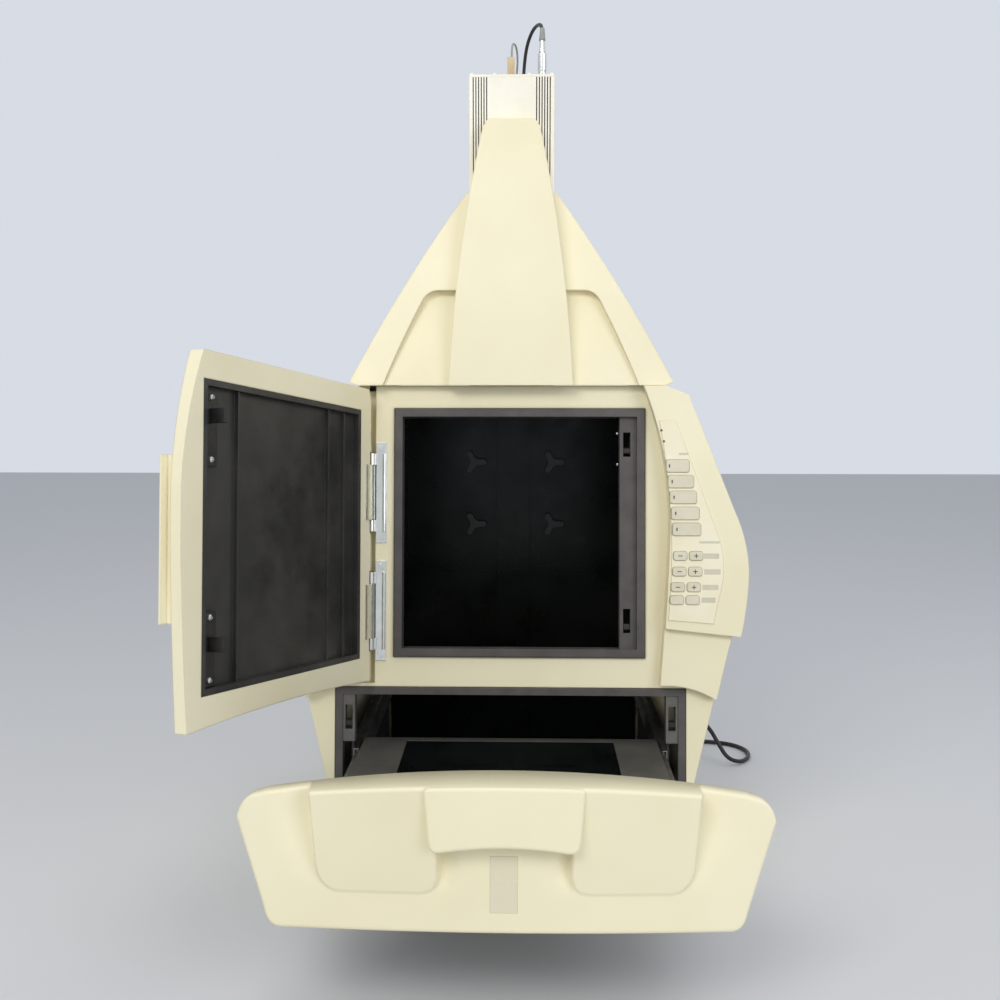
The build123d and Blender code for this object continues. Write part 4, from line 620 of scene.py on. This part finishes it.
plate("blank_label", on_drawer, (-0.5, 96), (26, 52), (26.2, 27.25), STICKER, "drawer")
for row, x, height in (("iris", 207.8, 347.4), ("zoom", 206.7, 328.4),
                       ("focus", 205.0, 309.5)):
    for sign, shift in (("minus", 0.0), ("plus", 19.4)):
        body = f"{row}_key_{sign}_body"
        plate(f"{row}_{sign}_bar", on_face, (x + shift, height), (SIGN_LONG, SIGN_WIDE),
              SIGN_OFFSETS, MARK_INK, body, 0.3)
        if sign == "plus":
            plate(f"{row}_plus_stem", on_face, (x + shift, height), (SIGN_WIDE, SIGN_LONG),
                  SIGN_OFFSETS, MARK_INK, body, 0.3)
for number, (x, height) in enumerate(((194.6, 456.4), (197.9, 437.4), (200.2, 418.3),
                                      (202.2, 398.8), (203.7, 379.5)), 1):
    plate(f"key_lamp_{number}", on_face, (x, height), (1.7, 4.2),
          (KEY_TOP - 0.3, KEY_TOP + 0.15), LENS_AMBER, f"light_key_{number}_body",
          0.8)
for name, centre, size in (("iris", (246, 347.3), (18.5, 6.4)), ("zoom", (247, 328.2), (20, 6.4)),
                           ("focus", (244.6, 309.4), (19.4, 6.2)),
                           ("speed", (242.2, 294.1), (16.8, 6.2)),
                           ("lens_rule", (243.6, 363.9), (25, 2.6)),
                           ("light_rule", (212.2, 471.1), (11.6, 2.6))):
    plate(f"{name}_panel_bar", on_face, centre, size, (OVERLAY_TOP - 0.2, OVERLAY_TOP + 0.05),
          PALE_INK, "cabinet", 0.4)
for number, centre in enumerate(((185.1, 499.7), (188.1, 486.3)), 1):
    button_head(f"status_lamp_{number}", on_face, centre, 1.5,
                (OVERLAY_TOP - 0.3, OVERLAY_TOP + 0.6), LENS_AMBER, "cabinet")

# Screws of the latch plates on the door, and of the keeper strip
LATCH_X = 145.0
INSIDE_FROM = 22


def inside_door(x, height, offset):
    """Points in the open door turned about the latch plates' middle line, so that an
    offset goes inwards."""
    return on_door(2 * LATCH_X - x, height, INSIDE_FROM - offset)


for number, height in enumerate((506.5, 446.5, 295.8, 235.8), 1):
    button_head(f"latch_screw_{number}", inside_door, (LATCH_X, height), 3.4, (11.0, 14.4),
                SCREW_STEEL, "door")
for number, centre in enumerate(((133.7, 498.1), (133.7, 459.7)), 1):
    button_head(f"keeper_screw_{number}", on_face, centre, 1.9, (-6.5, -4.5), SCREW_STEEL,
                "cabinet")


# Camera, as it stood for the photograph
camera_data = bpy.data.cameras.new("camera")
camera = bpy.data.objects.new("camera", camera_data)
scene.collection.objects.link(camera)
scene.camera = camera
camera_data.sensor_width = 36.0
camera_data.lens = 37.66
sight = Vector((-0.02385, 0.99367, -0.10973))
across = Vector((0.99971, 0.02400, 0.0))
above = across.cross(sight)
camera.matrix_world = Matrix.Translation((0.03006, -1.26723, 0.61548)) @ Matrix(
    (across, above, -sight)).transposed().to_4x4()


# Mains lead: one line from the connector, round the coil on the table and to the plug

CORD = 0.0066
CORD_LOW = 0.00335
COIL = (0.236, 0.448)
LAPS = (0.0436, 0.037, 0.0304)


def coil_turns(steps=16):
    """Control points of six laps: three on the table that step inwards, then three on
    them that step outwards. A lap keeps its radius but for the last sixth of its turn,
    and the lift to the second layer is over two ninths of a turn."""
    turns = np.arange(0, 6 * steps + 1) / steps
    lap, part = np.divmod(turns, 1.0)
    ease = np.clip((part - 300 / 360) / (60 / 360), 0, 1)
    ease = ease * ease * (3 - 2 * ease)
    inward = np.clip(lap + ease, 0, 2)
    shift = np.clip((part - 150 / 360) / (80 / 360), 0, 1)
    shift = shift * shift * (3 - 2 * shift)
    outward = np.clip(lap - 3 + shift, 0, 2)
    radius = np.where(lap < 3, LAPS[0] - CORD * inward, LAPS[2] + CORD * outward)
    lift = np.where(lap == 2, np.clip((part - 220 / 360) / (80 / 360), 0, 1), lap > 2)
    lift = lift * lift * (3 - 2 * lift)
    radius = radius / math.cos(math.pi / steps)
    angle = 2 * math.pi * turns + math.pi / 2
    return np.stack([COIL[0] + radius * np.cos(angle), COIL[1] + radius * np.sin(angle),
                     CORD_LOW + CORD * lift], axis=1)


lap_y = COIL[1] + LAPS[0]
lead_out = [(0.162, 0.4285, 0.087), (0.162, 0.4525, 0.087), (0.184, 0.480, 0.084),
            (0.226, 0.490, 0.082), (0.272, 0.474, 0.079), (0.308, 0.438, 0.072),
            (0.331, 0.402, 0.060), (0.345, 0.386, 0.036), (0.359, 0.381, 0.013),
            (0.382, 0.389, CORD_LOW), (0.402, 0.414, CORD_LOW), (0.405, 0.450, CORD_LOW),
            (0.381, 0.480, CORD_LOW), (0.336, lap_y, CORD_LOW), (0.286, lap_y, CORD_LOW)]
plug_point = Vector((0.096, 0.482, 0.011))
plug_back = -Vector((-24, -7, 0)).normalized()
lead_in = [(0.184, lap_y, CORD_LOW), (0.152, lap_y, CORD_LOW),
           tuple(plug_point + plug_back * 0.027), tuple(plug_point)]
line = np.concatenate([np.array(lead_out), coil_turns(), np.array(lead_in)])

lead_curve = bpy.data.curves.new("mains_lead", "CURVE")
lead_curve.dimensions = "3D"
lead_spline = lead_curve.splines.new("NURBS")
lead_spline.points.add(len(line) - 1)
lead_spline.points.foreach_set("co", np.c_[line, np.ones(len(line))].ravel())
lead_spline.order_u = 3
lead_spline.use_endpoint_u = True
lead_spline.resolution_u = 5
lead_curve.bevel_depth = CORD / 2
lead_curve.bevel_resolution = 5
mains_lead = bpy.data.objects.new("mains_lead", lead_curve)
scene.collection.objects.link(mains_lead)
mains_lead.data.materials.append(PVC)
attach(mains_lead, "cabinet")
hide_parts("mains_cable", "mains_coil")


# Tower top: the two leads, the plug and the grey strain relief

def tower_place(x, y, height):
    """A point on the tower in the row frame, from x, y and the height above the datum."""
    return ((x + 12) * MM, y * MM, (height + 57) * MM)


def stacked(name, centre, rings, material):
    """An upright piece: rounded rectangles, each as (half width, half depth, corner
    radius, height), joined from ring to ring and closed flat at both ends."""
    points = []
    for wide, deep, radius, height in rings:
        ring = rounded_ring(wide, deep, radius) + np.array(centre)
        points += [tower_place(x, y, height) for x, y in ring]
    return mesh_piece(name, points, ring_stack(len(rings)), material, "cabinet")


stacked("lens_plug_shell", (-1.7, 152.5),
        [(4.7, 3.7, 0.3, 946.0), (4.7, 3.7, 0.3, 981.9), (4.4, 3.4, 0.3, 982.3)],
        BEIGE_PLUG)
stacked("camera_strain_relief", (39, 152.5),
        [(4.1, 4.1, 4.09, 1003), (4.1, 4.1, 4.09, 1006), (3.7, 3.7, 3.69, 1008),
         (3.3, 3.3, 3.29, 1014), (2.9, 2.9, 2.89, 1018.5), (2.6, 2.6, 2.59, 1019)],
        GREY_JACKET)


def tower_cord(name, route, diameter, material, stands_for):
    """A free cord from the tower's top to where it goes back into the cabinet."""
    points = np.array([tower_place(*point) for point in route])
    curve = bpy.data.curves.new(name, "CURVE")
    curve.dimensions = "3D"
    spline = curve.splines.new("NURBS")
    spline.points.add(len(points) - 1)
    spline.points.foreach_set("co", np.c_[points, np.ones(len(points))].ravel())
    spline.order_u = 3
    spline.use_endpoint_u = True
    spline.resolution_u = 8
    curve.bevel_depth = diameter / 2
    curve.bevel_resolution = 5
    obj = bpy.data.objects.new(name, curve)
    scene.collection.objects.link(obj)
    obj.data.materials.append(material)
    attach(obj, "cabinet")
    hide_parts(stands_for)
    return obj


tower_cord("camera_lead",
           [(39, 152.5, 1006), (39, 152.5, 1019), (36, 163, 1028), (28, 187, 1030),
            (20, 207, 1018), (16, 218, 998), (14, 222, 965), (14, 224, 915),
            (14, 221, 862), (14, 221, 812)],
           0.0046, PVC, "camera_cable")
tower_cord("lens_control_lead",
           [(-0.7, 152.5, 982), (-0.7, 152.5, 994), (1, 160, 1003), (5, 180, 1005),
            (7, 200, 994), (5, 212, 975), (3, 217, 948), (1, 223, 905), (1, 221, 858),
            (1, 221, 812)],
           0.0026, GREY_JACKET, "lens_lead")

# Shadow strips in the floors of the tower's front grooves
GROOVE_FIRST = 31.5
GROOVE_PITCH = 3.4
STRIP_HALF = 0.6
STRIP_DEPTHS = (99.7, 100.15)
STRIP_HEIGHTS = (778, 944.5)
strip_points = []
strip_faces = []
for side in (-1, 1):
    for k in range(6):
        middle = side * (GROOVE_FIRST + GROOVE_PITCH * k)
        strip_faces += [[len(strip_points) + n for n in face] for face in BOX_FACES]
        strip_points += [tower_place(x, y, height) for height in STRIP_HEIGHTS
                         for y in STRIP_DEPTHS
                         for x in (middle - STRIP_HALF, middle + STRIP_HALF)]
mesh_piece("groove_strips", strip_points, strip_faces, CAMERA_BLACK, "cabinet",
           smooth=False)


# Floor, light and backdrop

def plane_object(name, half, material, height=0.0, y=0.0):
    """A square of a half width, flat at a height."""
    mesh = bpy.data.meshes.new(name)
    mesh.from_pydata([(-half, y - half, height), (half, y - half, height),
                      (half, y + half, height), (-half, y + half, height)], [],
                     [(0, 1, 2, 3)])
    obj = bpy.data.objects.new(name, mesh)
    obj.data.materials.append(material)
    scene.collection.objects.link(obj)
    return obj


floor_material, floor_tree, floor_shader, _ = new_material("pale_floor", "D9DADB", 0.6)
floor = plane_object("floor", 6.0, floor_material, height=-0.0005)

world = bpy.data.worlds.new("studio")
scene.world = world
world.use_nodes = True
backdrop = world.node_tree.nodes["Background"]
backdrop.inputs["Color"].default_value = linear("DCE1EA")
backdrop.inputs["Strength"].default_value = 0.6
# The backdrop shows paler than it lights, to the camera and in glossy surfaces
sight_ray = add_node(world.node_tree, "ShaderNodeLightPath")
either_ray = add_node(world.node_tree, "ShaderNodeMath", {"operation": "MAXIMUM"})
world.node_tree.links.new(sight_ray.outputs["Is Camera Ray"], either_ray.inputs[0])
world.node_tree.links.new(sight_ray.outputs["Is Glossy Ray"], either_ray.inputs[1])
shown_strength = add_node(world.node_tree, "ShaderNodeMapRange",
                          links=[(either_ray.outputs["Value"], "Value")],
                          To_Min=0.6, To_Max=0.95)
world.node_tree.links.new(shown_strength.outputs["Result"], backdrop.inputs["Strength"])


def soft_light(name, place, target, width, height, power, colour="FFFFFF"):
    """An area light that faces a point."""
    data = bpy.data.lights.new(name, "AREA")
    data.shape = "RECTANGLE"
    data.size, data.size_y = width, height
    data.energy = power
    data.color = linear(colour)[:3]
    obj = bpy.data.objects.new(name, data)
    obj.location = place
    obj.rotation_mode = "QUATERNION"
    obj.rotation_quaternion = (Vector(target) - Vector(place)).to_track_quat("-Z", "Y")
    scene.collection.objects.link(obj)


soft_light("key_light", (-1.2, -2.6, 2.6), (0, 0, 0.45), 1.8, 1.2, 42, "FFFCF6")
soft_light("fill_light", (1.9, -2.2, 1.5), (0, 0, 0.5), 1.6, 1.6, 24, "F6F8FF")
soft_light("top_light", (0.1, -0.2, 3.0), (0, 0, 0.5), 2.2, 1.6, 15, "FFFDFA")
